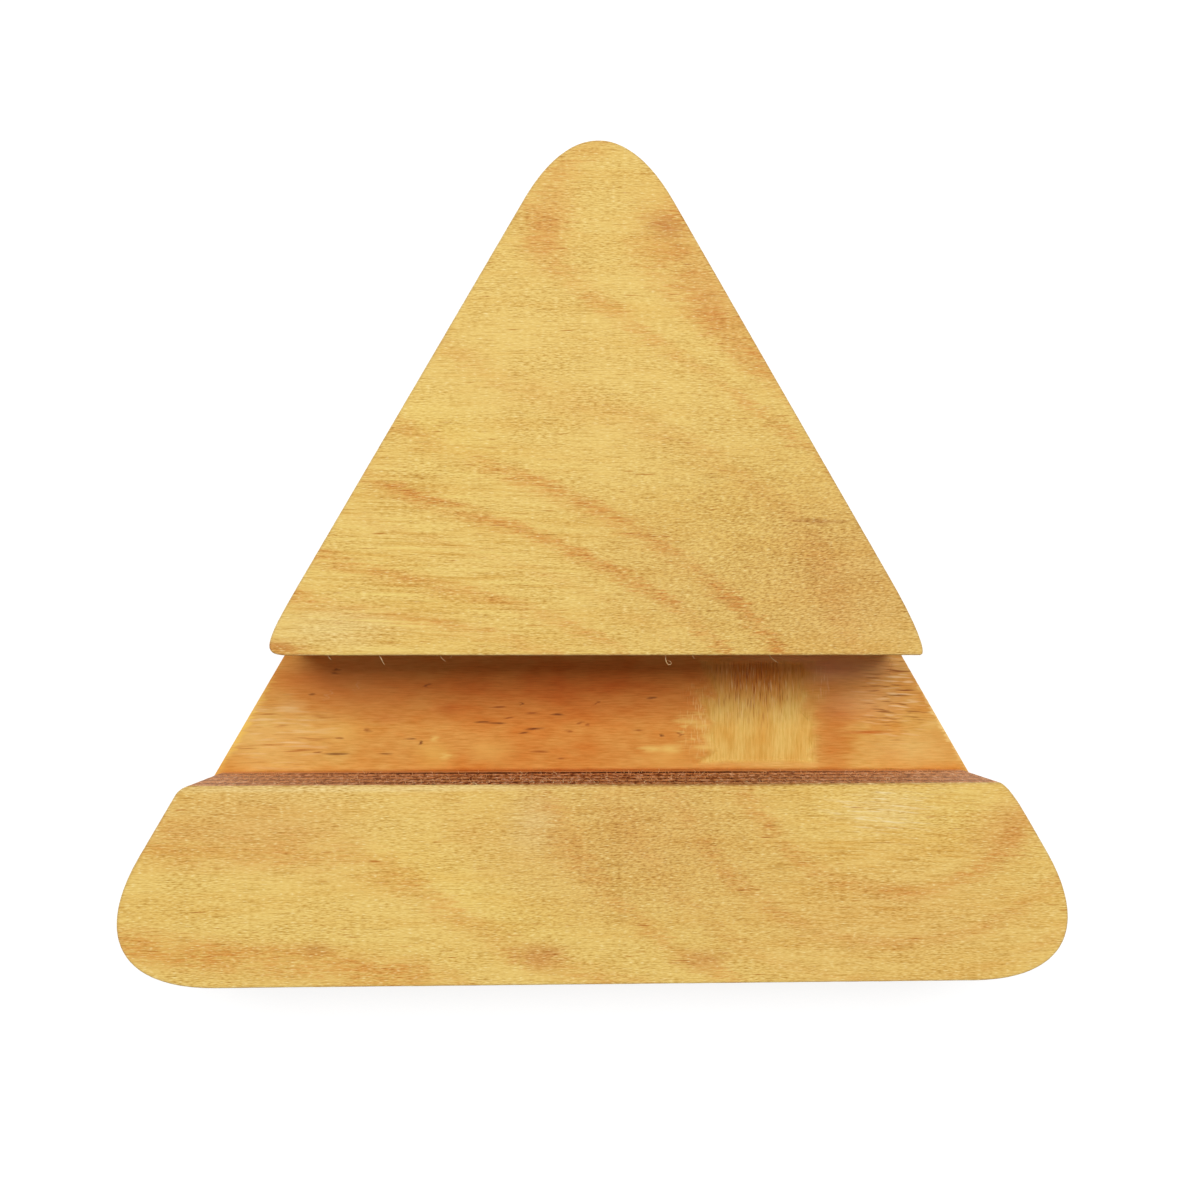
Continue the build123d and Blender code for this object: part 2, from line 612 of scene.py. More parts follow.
@dataclass(frozen=True)
class PlyEdge(Finish):
    """Sawn and sanded edge of a birch ply: pale where it follows the fibres, brown across them.

    The fibres run through the whole ply, so one solid pattern, drawn out along the grain, gives
    streaks on a wall along the grain and pores on a wall across it. A thin dark line of cured
    glue lies at each side of the ply, and in the groove the cutter has scorched the wood.

    Attributes:
        cross_tone: the main colour where the edge cuts the fibres.
        groove: between which Y the cutter passed, in mm.
    """

    tone: str = "#F3D7A4"
    cross_tone: str = "#CE9C68"
    groove: tuple[float, float] = (-23.6, -9.5)

    def paint(self, wood: Surface) -> Any:
        """Paint fibres, pores, the scorched groove and the glue lines.

        Args:
            wood: the surface.

        Returns:
            The node of its height.
        """
        tree = wood.tree
        end_grain = wood.attribute(END_GRAIN)
        wood.cover(end_grain, self.cross_tone, Lay.COAT)
        wood.shade(wood.fibres(9.0, 1.2), 0.35, 0.8, "#E2C49C")
        streak = wood.fibres(1.8, 0.13, 5.0, 3.0)
        wood.shade(streak, 0.45, 0.75, "#BC9A7C")
        wood.shade(wood.fibres(1.2, 0.1, 9.0, 0.0), 0.64, 0.74, "#8C6650")
        cool = wood.colour
        parts = add(tree, "ShaderNodeSeparateXYZ", wood.place).outputs
        self.scorch(wood, end_grain, parts)
        near, far = self.groove
        in_groove = add(tree, "ShaderNodeMath",
                        add(tree, "ShaderNodeMath", parts["Y"], far, operation="LESS_THAN"),
                        add(tree, "ShaderNodeMath", parts["Y"], near, operation="GREATER_THAN"),
                        operation="MULTIPLY")
        wood.colour = add(tree, "ShaderNodeMix", in_groove, cool, wood.colour, data_type="RGBA")
        wood.shade(wood.attribute(GLUE), 0.2, 0.8, "#98705A")
        return streak

    def scorch(self, wood: Surface, end_grain: Any, parts: Any) -> None:
        """Paint what the cutter's heat did to the groove's walls.

        They are brown, most of all where it cut across the fibres. Apart from that they are
        lighter towards the open ends and darker at their foot.

        Args:
            wood: the surface.
            end_grain: how squarely the wall cuts the fibres.
            parts: X, Y and Z in mm.
        """
        tree = wood.tree
        wood.shade(end_grain, 0.0, 1.0, "#DABCA8")
        wood.shade(end_grain, 1.0, 0.0, "#FCCCA8")
        # The cutter tore the near wall, which it climbed, more than the far one.
        middle_tone = 0.52
        tearing = add(tree, "ShaderNodeMapRange", parts["Y"], -10.0, -23.0, 0.3, 1.0)
        swing = add(tree, "ShaderNodeMath", wood.speckle((1.7, 1.0, 0.7), 13.0, 3.0),
                    middle_tone, operation="SUBTRACT")
        dashes = add(tree, "ShaderNodeMath", swing, tearing, middle_tone,
                     operation="MULTIPLY_ADD")
        wood.shade(dashes, 0.5, 0.37, "#7A4630")
        wood.shade(dashes, 0.54, 0.65, "#F0C49C", Lay.COAT)
        # Lighter towards the open ends, and darker at the foot, most of all in its middle.
        middle = add(tree, "ShaderNodeMath", parts["X"], operation="ABSOLUTE")
        lighter_ends = add(tree, "ShaderNodeMapRange", middle, 14.0, 44.0, 0.0, 0.45)
        wood.cover(lighter_ends, "#E0AA80", Lay.COAT)
        height = add(tree, "ShaderNodeMath", wood.speckle((0.5, 1.0, 0.4), 15.0, 2.0), 2.4,
                     parts["Z"], operation="MULTIPLY_ADD")
        foot = add(tree, "ShaderNodeMath", add(tree, "ShaderNodeMapRange", height, 10.0, 9.2),
                   add(tree, "ShaderNodeMapRange", middle, 12.0, 34.0, 0.95, 0.15),
                   operation="MULTIPLY")
        wood.cover(foot, "#6C3A26", Lay.STAIN)
        # Torn skin of the floor stands against the foot.
        fringe = add(tree, "ShaderNodeMapRange", height, 8.4, 8.0, 0.0, 0.85)
        wood.cover(fringe, "#E09A58", Lay.COAT)


@dataclass(frozen=True)
class RoutedWood(Finish):
    """Birch cut by a router and soaked with cured glue: orange brown, slightly glossy.

    Attributes:
        stain: the tone of the soaked areas.
        streaks: the tone of its darker fibres.
        patches: spots of other tones, among them painted shade and painted light under the far
            lip.
        lines: groups of fine lines, among them the painted light and shade of ripples.
    """

    tone: str = "#DFB262"
    stain: str = "#F5D6B0"
    streaks: str = "#D8C070"
    patches: tuple[Patch, ...] = ()
    lines: tuple[Streaks, ...] = ()

    def paint(self, wood: Surface) -> Any:
        """Paint stains, patches, fibres and fine lines.

        Args:
            wood: the surface.

        Returns:
            The node of its height.
        """
        wood.shade(wood.fibres(6.0, 2.6), 0.35, 0.7, self.stain)
        streak = wood.fibres(2.0, 0.16, 5.0, 3.0)
        wood.shade(streak, 0.4, 0.85, self.streaks)
        wood.patch(self.patches, wood.frayed(2.0, 0.3, 2.0, 1.2))
        wood.draw(self.lines)
        return streak


@dataclass(frozen=True)
class WornSkin(RoutedWood):
    """Routed skin so thin that the ply below shows through where it is most worn.

    Attributes:
        under: the finish of the ply below.
    """

    under: RoutedWood | None = None

    def paint(self, wood: Surface) -> Any:
        """Paint both woods, and let the skin's thickness choose between them.

        Args:
            wood: the surface.

        Returns:
            The node of its height.
        """
        height = super().paint(wood)
        below = self.under.surface(wood.tree)
        self.under.paint(below)
        share = add(wood.tree, "ShaderNodeMapRange", wood.attribute(SKIN), 0.05, 0.9, 0.0, 1.0)
        wood.colour = add(wood.tree, "ShaderNodeMix", share, below.colour, wood.colour,
                          data_type="RGBA")
        return height


@dataclass(frozen=True)
class BareFibre(Finish):
    """Torn birch fibre: clean, pale and matt, because it has met neither oil nor sander.

    The cutter's heat has browned some of it.
    """

    tone: str = "#F0D8A8"
    roughness: float = 0.8
    gloss: float = 0.1

    def paint(self, wood: Surface) -> Any:
        """Paint a pale tone that drifts a little.

        Args:
            wood: the surface.

        Returns:
            The node of its height.
        """
        drift = wood.fibres(0.5, 0.5)
        wood.shade(drift, 0.3, 0.8, "#D8B88C")
        return drift


BLUSH = "#F7EAF0"               # where the wood is pinker and duller

FRONT_VENEER = {
    "upper": Veneer(
        name="birch_veneer_oiled_front_upper",
        seed=2.0,
        slope=(0.085, -0.003, 3.0),
        swells=(
            Swell(-49.3, -1.6, 41.3, 15.1, 65.4, 2.7),
            Swell(2.1, -37.3, 76.4, 54.5, -79.3, -4.5),
            Swell(-20.0, 34.7, 90.0, 69.0, -31.5, 3.6),
            Swell(47.4, -11.6, 108.0, 10.0, 145.9, -0.8),
        ),
        rings=(
            Ring(0.2, 1.0), Ring(0.85, 0.7), Ring(1.4, 0.6), Ring(2.05, 0.25, 0.3), Ring(2.6, 1.0),
            Ring(3.4, 0.85, 0.5), Ring(4.55, 0.35), Ring(5.65, 0.6), Ring(6.2, 0.7),
        ),
        patches=(
            Patch(-5.0, 35.0, 3.6, 7.0, -20.0, "#F6DFD0", 0.8),
            Patch(7.0, 35.0, 3.4, 2.0, -20.0, "#E6CCC2", 0.8),
            Patch(12.0, 28.0, 12.0, 4.0, -58.0, "#F4DFD4", 0.8),
            Patch(27.0, -3.0, 17.0, 16.0, 0.0, BLUSH, 0.8),
            Patch(8.0, -2.0, 14.0, 9.0, -30.0, BLUSH, 0.3),
            Patch(23.0, 4.2, 3.6, 0.45, 0.0, "#C49A74", 0.7),
            Patch(-16.0, 13.0, 12.0, 6.0, -30.0, "#F0D274", 0.5, Lay.COAT),
            Patch(-27.0, -7.0, 10.0, 3.2, 0.0, "#EED69A", 0.4, Lay.COAT),
            Patch(-33.0, -8.9, 4.0, 1.2, 0.0, "#E6C4B4", 0.8),
        ),
        lines=(
            Streaks(21.0, -1.0, 30.0, 24.0, 0.0, 0.45, 0.15, 12.0, "#C8AE80", 0.42, 0.74),
            Streaks(-20.0, 0.0, 34.0, 22.0, 0.0, 8.0, 0.3, -2.0, "#EDDDB8", 0.5, 0.74),
            Streaks(-20.0, 0.0, 34.0, 22.0, 0.0, 8.0, 0.3, -2.0, "#F0D478", 0.44, 0.14, Lay.COAT),
        ),
    ),
    "lower": Veneer(
        name="birch_veneer_oiled_front_lower",
        seed=6.0,
        slope=(0.0025, 0.104, 4.8),
        swells=(
            Swell(-12.4, -33.2, 32.2, 9.9, -50.0, 0.75),
            Swell(31.2, -32.1, 44.0, 53.6, 76.8, 4.2),
            Swell(-20.9, -34.0, 17.8, 108.0, -108.4, 0.54),
        ),
        rings=(
            Ring(0.65, 0.8, 0.9), Ring(2.15, 0.55, 0.9), Ring(3.2, 0.5, 0.5), Ring(3.9, 0.3, 0.5),
            Ring(4.65, 0.5), Ring(5.45, 0.62),
        ),
        patches=(
            Patch(-36.0, -26.5, 20.0, 7.5, 0.0, BLUSH, 0.8),
            Patch(4.0, -28.0, 22.0, 13.0, 0.0, BLUSH, 0.7),
            Patch(30.0, -37.0, 30.0, 12.0, 0.0, BLUSH, 0.6),
            Patch(43.0, -28.0, 7.0, 5.0, 30.0, "#F4DEDC", 0.8),
            Patch(30.0, -26.0, 6.0, 3.6, 0.0, "#ECD49E", 0.25, Lay.COAT),
            Patch(-7.0, -27.0, 4.0, 5.0, 0.0, "#ECD49E", 0.3, Lay.COAT),
            Patch(-13.0, -34.5, 16.0, 3.4, -24.0, "#F2D474", 0.3, Lay.COAT),
            Patch(-29.0, -40.0, 3.0, 1.2, 0.0, "#D9AC90", 0.5),
            Patch(-6.0, -41.0, 4.4, 2.2, 0.0, "#E4BEB4", 0.7),
            Patch(11.0, -41.5, 4.0, 1.8, 0.0, "#E4BEB4", 0.6),
            # Painted highlight: a pale line where the near lip's edge catches the light.
            Patch(-24.0, -23.6, 34.0, 0.5, 0.0, "#F6E0A0", 0.6, Lay.COAT),
            # A dark line along the near lip's arris.
            Patch(12.0, -23.2, 36.0, 0.4, 0.0, "#AC7C54", 0.9),
        ),
        lines=(
            Streaks(5.0, -30.0, 24.0, 16.0, 0.0, 0.45, 0.15, 8.0, "#C8AE80", 0.45, 0.78),
            Streaks(30.0, -26.0, 9.0, 5.0, 0.0, 2.4, 0.16, -5.0, "#F2DCA6", 0.58, 0.7,
                    Lay.COAT, 1),
            Streaks(30.0, -32.0, 30.0, 22.0, 0.0, 6.0, 0.28, -3.0, "#EEDCB6", 0.5, 0.74,
                    pattern=2),
        ),
    ),
}

BACK_VENEER = Veneer(
    name="birch_veneer_oiled_back",
    seed=31.0,
    slope=(-0.01, 0.07, 3.4),
    swells=(
        Swell(-14.0, 8.0, 52.0, 30.0, 12.0, 1.9),
        Swell(26.0, -26.0, 34.0, 22.0, -18.0, -1.6),
    ),
    rings=tuple(Ring(0.5 + 0.64 * step, 0.5 + 0.3 * (step % 3 == 0)) for step in range(9)),
    patches=(
        Patch(20.0, -8.0, 14.0, 8.0, 10.0, "#EFD4B0", 0.5),
        Patch(-24.0, -30.0, 12.0, 6.0, 0.0, "#F2D8B4", 0.5),
    ),
)

PORE = "#6A3A22"                # a vessel that glue and dust have filled
FAINT_PORE = "#A87448"
SPLASH = "#E6BE66"              # glue that dried on top of the wood

WORN_THROUGH = RoutedWood(
    name="birch_cross_ply_laid_bare",
    seed=9.0,
    roughness=0.55,
    gloss=0.1,
    relief=0.03,
    grain=Grain.CROSS,
    tone="#E5C26D",
    stain="#F4DCB8",
    streaks="#DCC880",
    patches=(
        # Painted shade: the bare wood under the far lip, made darker and redder.
        Patch(18.5, -12.2, 11.0, 4.6, 0.0, "#EEBA8A", 1.0),
    ),
    lines=(
        Streaks(18.5, -14.0, 9.0, 7.0, 0.0, 1.6, 0.11, 90.0, "#C09058", 0.54, 0.7),
        Streaks(18.5, -13.6, 9.0, 6.0, 0.0, 1.8, 0.1, 90.0, "#EFC888", 0.44, 0.3, Lay.COAT, 3),
    ),
)

GROOVE_FLOOR = WornSkin(
    name="birch_routed_glue_stained",
    seed=5.0,
    roughness=0.5,
    gloss=0.1,
    relief=0.02,
    under=WORN_THROUGH,
    lines=(
        # Ripples by the left mouth, without relief: pale and dark lines painted as the light and
        # shade on their sides.
        Streaks(-36.0, -19.0, 9.0, 6.0, 0.0, 3.6, 0.32, 0.0, "#EAC488", 0.44, 0.26, Lay.COAT, 1),
        Streaks(-36.0, -19.0, 9.0, 6.0, 0.0, 3.6, 0.32, 0.0, "#C6966A", 0.57, 0.72, pattern=1),
        # The washboard's ridges by the right mouth: pale and dark lines painted as light and shade
        # on them, over the mesh's small relief.
        Streaks(34.8, -14.6, 7.0, 8.0, 0.0, 2.6, 0.24, -3.0, "#EBC28A", 0.42, 0.32, Lay.COAT, 2),
        Streaks(34.8, -14.6, 7.0, 8.0, 0.0, 2.6, 0.24, -3.0, "#9C6844", 0.57, 0.68, pattern=2),
        # Pale hairlines by and in the worn window, and a splash of glue.
        Streaks(26.0, -13.0, 1.6, 2.8, 0.0, 1.2, 0.16, 90.0, "#E8B880", 0.54, 0.66, Lay.COAT),
        Streaks(12.2, -17.5, 3.4, 6.5, 0.0, 1.0, 0.16, 90.0, "#E6BE74", 0.54, 0.68, Lay.COAT, 4),
        Streaks(12.0, -19.0, 4.4, 4.5, 0.0, 1.8, 0.32, 0.0, SPLASH, 0.56, 0.66, Lay.COAT, 5),
    ),
    patches=(
        # Where the stain is deep and where it is thin, with painted shade and painted
        # light in the band under the far lip.
        Patch(-6.0, -19.0, 32.0, 13.0, 0.0, "#FBD6BA", 0.95),
        # Painted shade: the band under the far lip, made darker and redder.
        Patch(0.0, -13.2, 60.0, 6.0, 0.0, "#F6C59A", 0.95),
        # Where the stain is thin.
        Patch(-37.0, -19.5, 9.0, 5.0, 0.0, "#EECA7C", 0.4, Lay.COAT),
        Patch(-34.5, -15.8, 2.6, 1.2, 0.0, "#E6BC74", 0.5, Lay.COAT),
        # Painted shade: the band under the far lip, stained redder by the left mouth.
        Patch(-33.0, -12.6, 9.0, 2.4, 0.0, "#F6D0A8", 0.7),
        # More places where the stain is thin, and spots of other tones.
        Patch(-29.0, -18.6, 5.0, 2.0, 0.0, "#E6B45C", 0.4, Lay.COAT),
        Patch(-18.5, -21.3, 3.4, 2.4, 0.0, "#E2B256", 0.6, Lay.COAT),
        Patch(-12.0, -21.0, 4.0, 2.2, 0.0, "#E6B45C", 0.5, Lay.COAT),
        Patch(8.0, -21.5, 4.5, 2.0, 0.0, "#E6B45C", 0.5, Lay.COAT),
        Patch(-24.0, -17.2, 3.6, 1.0, 0.0, "#F6DCCC", 0.7),
        Patch(-17.0, -16.0, 3.0, 1.2, 0.0, "#F6DCCC", 0.7),
        Patch(27.4, -18.5, 3.6, 9.0, 0.0, "#F0D0BC", 0.9),
        Patch(36.5, -21.0, 7.5, 3.2, 0.0, "#E8C67A", 0.35, Lay.COAT),
        Patch(31.5, -18.9, 4.0, 0.36, 0.0, "#E4A070", 0.8),
        # A dark line along the foot of the near wall.
        Patch(0.0, -23.15, 60.0, 0.4, 0.0, "#CC9068", 0.7),
        # Painted light: warm light in the shade under the far lip, by the left mouth.
        Patch(-29.0, -13.0, 13.0, 6.0, 0.0, "#E2843E", 0.4, Lay.COAT),
        # Painted light: the shade under the far lip, lightened towards the right mouth.
        Patch(26.0, -11.4, 14.0, 2.6, 0.0, "#EEB482", 0.55, Lay.COAT),
        # A paler spot towards the right mouth.
        Patch(31.0, -15.5, 7.0, 3.5, 0.0, "#EEB27C", 0.3, Lay.COAT),
        # Raw yellow wood where the side cuts the floor.
        Patch(-40.0, -18.0, 9.0, 0.8, 60.0, "#EEC45E", 0.9, Lay.COAT),
        Patch(40.0, -18.0, 9.0, 0.45, -60.0, "#F0CC80", 0.9, Lay.COAT),
        # Glue that ran along the fibres and dried.
        *patches(
            SPLASH, Lay.COAT,
            (-18.3, -19.5, 0.9, 0.55, 10.0, 0.8), (-17.3, -21.5, 0.9, 0.55, -20.0, 0.8),
            (6.3, -20.75, 1.9, 0.6, 0.0, 0.95), (8.5, -20.75, 2.0, 0.8, 0.0, 0.95),
            (10.6, -17.6, 2.8, 0.45, 0.0, 0.7), (12.0, -18.1, 2.2, 0.6, 0.0, 0.6),
            (13.0, -19.3, 1.4, 0.4, 0.0, 0.8), (12.8, -20.6, 2.4, 0.6, 0.0, 0.8),
        ),
        Patch(13.1, -15.3, 1.6, 0.3, 90.0, "#DDA468", 0.7, Lay.COAT),
        # Arcs of the cutter.
        Patch(-27.2, -13.5, 1.0, 0.2, 66.0, "#E0A468", 0.5, Lay.COAT),
        Patch(-30.4, -14.5, 1.2, 0.22, 56.0, "#E0A468", 0.5, Lay.COAT),
        # Vessels cut open.
        *patches(
            PORE, Lay.STAIN,
            (-29.5, -21.2, 2.24, 0.21, 0.0, 0.8), (-23.8, -21.2, 1.12, 0.18, 0.0, 0.6),
            (-21.2, -19.5, 0.98, 0.18, 0.0, 0.6), (-20.0, -19.95, 0.45, 0.34, 40.0, 0.9),
            (-32.2, -14.4, 0.63, 0.23, 0.0, 0.6), (-29.6, -11.6, 0.56, 0.26, 0.0, 0.6),
            (-29.7, -12.0, 0.98, 0.21, -10.0, 0.5), (-19.1, -13.4, 0.63, 0.33, 20.0, 0.6),
            (-12.9, -17.6, 1.54, 0.18, 2.0, 0.7), (-11.3, -17.75, 1.54, 0.18, -2.0, 0.75),
            (-8.6, -15.55, 0.42, 0.23, 30.0, 0.7), (-4.3, -16.75, 1.05, 0.21, 0.0, 0.8),
            (-6.9, -18.4, 1.82, 0.2, 3.0, 0.9), (-8.2, -18.85, 1.12, 0.18, 3.0, 0.8),
            (6.3, -14.9, 0.84, 0.21, 0.0, 0.7), (7.7, -19.2, 0.25, 0.29, 0.0, 0.8),
            (35.0, -14.6, 2.38, 0.21, 0.0, 0.7),
        ),
        *patches(
            FAINT_PORE, Lay.STAIN,
            (-31.5, -21.0, 0.84, 0.17, 0.0, 0.8), (-29.2, -19.4, 0.84, 0.18, 0.0, 0.8),
            (-26.0, -18.5, 0.56, 0.39, 0.0, 0.6), (-9.9, -17.15, 0.98, 0.16, 4.0, 0.8),
            (-11.2, -15.9, 1.26, 0.18, 2.0, 0.8), (-7.6, -16.6, 0.84, 0.18, 0.0, 0.7),
            (-6.5, -21.0, 1.4, 0.26, 0.0, 0.6), (-4.0, -21.8, 0.84, 0.2, 0.0, 0.6),
            (-3.1, -18.7, 0.7, 0.26, 0.0, 0.6), (-1.8, -17.75, 0.42, 0.26, 0.0, 0.7),
            (-0.9, -17.95, 0.35, 0.26, 0.0, 0.7), (0.1, -15.45, 0.56, 0.2, 40.0, 0.7),
            (5.0, -18.6, 0.84, 0.18, 0.0, 0.7), (9.7, -19.0, 0.56, 0.33, 60.0, 0.8),
        ),
    ),
)

TORN_FIBRE = BareFibre(name="birch_fibre_torn", seed=14.0)
SCORCHED_FIBRE = BareFibre(name="birch_fibre_scorched", seed=17.0, tone="#F0BC88")


# ---------------------------------------------------------------- plans taken from the CAD plies


@dataclass(frozen=True)
class Plan:
    """A closed outline seen from the front, counterclockwise, in metres.

    Attributes:
        points: the outline's points.
    """

    points: tuple[Vector, ...]

    @staticmethod
    def of_node(node: str, level: float, spacing: float) -> "Plan":
        """Read the outline that a CAD node's upright faces have at a height.

        Args:
            node: the CAD node.
            level: the height in metres, at which the node has a ring of vertices.
            spacing: the distance between the plan's points, in metres.

        Returns:
            The outline, with its points spaced evenly.
        """
        same_point, same_level, flat = 0.001 * MM, 0.01 * MM, 0.5
        copy = bmesh.new()
        copy.from_mesh(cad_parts[node].data)
        bmesh.ops.remove_doubles(copy, verts=copy.verts, dist=same_point)
        ring = {vert for vert in copy.verts if abs(vert.co.z - level) < same_level}
        beside: dict[Any, list[Any]] = {}
        for edge in copy.edges:
            upright = [abs(face.normal.z) < flat for face in edge.link_faces]
            if set(edge.verts) <= ring and any(upright) and not all(upright):
                first, second = edge.verts
                beside.setdefault(first, []).append(second)
                beside.setdefault(second, []).append(first)
        start = min(beside, key=lambda vert: (round(vert.co.y, 6), vert.co.x))
        loop = [start]
        last, here = start, beside[start][0]
        while here is not start:
            loop.append(here)
            last, here = here, next(vert for vert in beside[here] if vert is not last)
        corners = [Vector((vert.co.x, vert.co.y)) for vert in loop]
        copy.free()
        area = sum(a.cross(b) for a, b in zip(corners, corners[1:] + corners[:1]))
        if area < 0:
            corners.reverse()
        return Plan(tuple(corners)).spaced(spacing)

    def spaced(self, spacing: float) -> "Plan":
        """Space the outline's points evenly.

        Args:
            spacing: about how far apart they get, in metres.

        Returns:
            The same outline with those points.
        """
        ends = self.points[1:] + self.points[:1]
        lengths = [(end - start).length for start, end in zip(self.points, ends)]
        total = sum(lengths)
        count = round(total / spacing)
        made: list[Vector] = []
        side, passed = 0, 0.0
        for step in range(count):
            wanted = total * step / count
            while passed + lengths[side] < wanted:
                passed += lengths[side]
                side += 1
            share = (wanted - passed) / lengths[side]
            made.append(self.points[side].lerp(ends[side], share))
        return Plan(tuple(made))

    def outward(self) -> list[Vector]:
        """The level direction out of the outline at each point."""
        before = self.points[-1:] + self.points[:-1]
        after = self.points[1:] + self.points[:1]
        runs = [end - start for start, end in zip(before, after)]
        return [Vector((run.y, -run.x)).normalized() for run in runs]

    def crossings(self, x: float) -> list[float]:
        """Find where a line of constant X crosses the outline.

        Args:
            x: the line's X, in metres.

        Returns:
            The crossings' Y, in rising order.
        """
        found = []
        for start, end in zip(self.points, self.points[1:] + self.points[:1]):
            if (start.x <= x) != (end.x <= x):
                found.append(start.y + (end.y - start.y) * (x - start.x) / (end.x - start.x))
        return sorted(found)

    def mesh(self, name: str) -> bpy.types.Mesh:
        """Make a flat face of this outline, with the outward directions on its points.

        Args:
            name: the mesh's name.

        Returns:
            The mesh.
        """
        flat = bpy.data.meshes.new(name)
        flat.from_pydata([(*point, 0.0) for point in self.points], [],
                         [list(range(len(self.points)))])
        directions = flat.attributes.new(OUTWARD, "FLOAT_VECTOR", "POINT")
        for entry, direction in zip(directions.data, self.outward()):
            entry.vector = (*direction, 0.0)
        return flat


# ---------------------------------------------------------------- Geometry Nodes


class TreeInputs:
    """Named inputs of a Geometry Nodes tree, and how a modifier is given them."""

    def __init__(self, tree: bpy.types.NodeTree, wanted: dict[str, str]) -> None:
        """Add the inputs to the tree.

        Args:
            tree: the tree.
            wanted: each input's name with its socket type.
        """
        tree.interface.new_socket("Geometry", in_out="INPUT", socket_type="NodeSocketGeometry")
        for name, kind in wanted.items():
            tree.interface.new_socket(name, in_out="INPUT", socket_type=kind)
        tree.interface.new_socket("Geometry", in_out="OUTPUT", socket_type="NodeSocketGeometry")
        self.keys = {
            item.name: item.identifier
            for item in tree.interface.items_tree
            if item.item_type == "SOCKET" and item.in_out == "INPUT"
        }

    def baked(
        self, name: str, start: bpy.types.Mesh, tree: bpy.types.NodeTree, values: dict[str, Any],
    ) -> bpy.types.Object:
        """Run the tree on a mesh and keep what it makes as a plain mesh.

        Args:
            name: the finished piece's name.
            start: the mesh that the tree starts from.
            tree: the tree.
            values: the inputs' values by name.

        Returns:
            The finished piece, with no modifier, at the origin.
        """
        piece = shown(name, start)
        modifier = piece.modifiers.new("make", "NODES")
        modifier.node_group = tree
        for key, value in values.items():
            modifier[self.keys[key]] = value
        made = evaluated_mesh(piece)
        piece.modifiers.remove(modifier)
        piece.data = made
        made.name = name
        bpy.data.meshes.remove(start)
        return piece


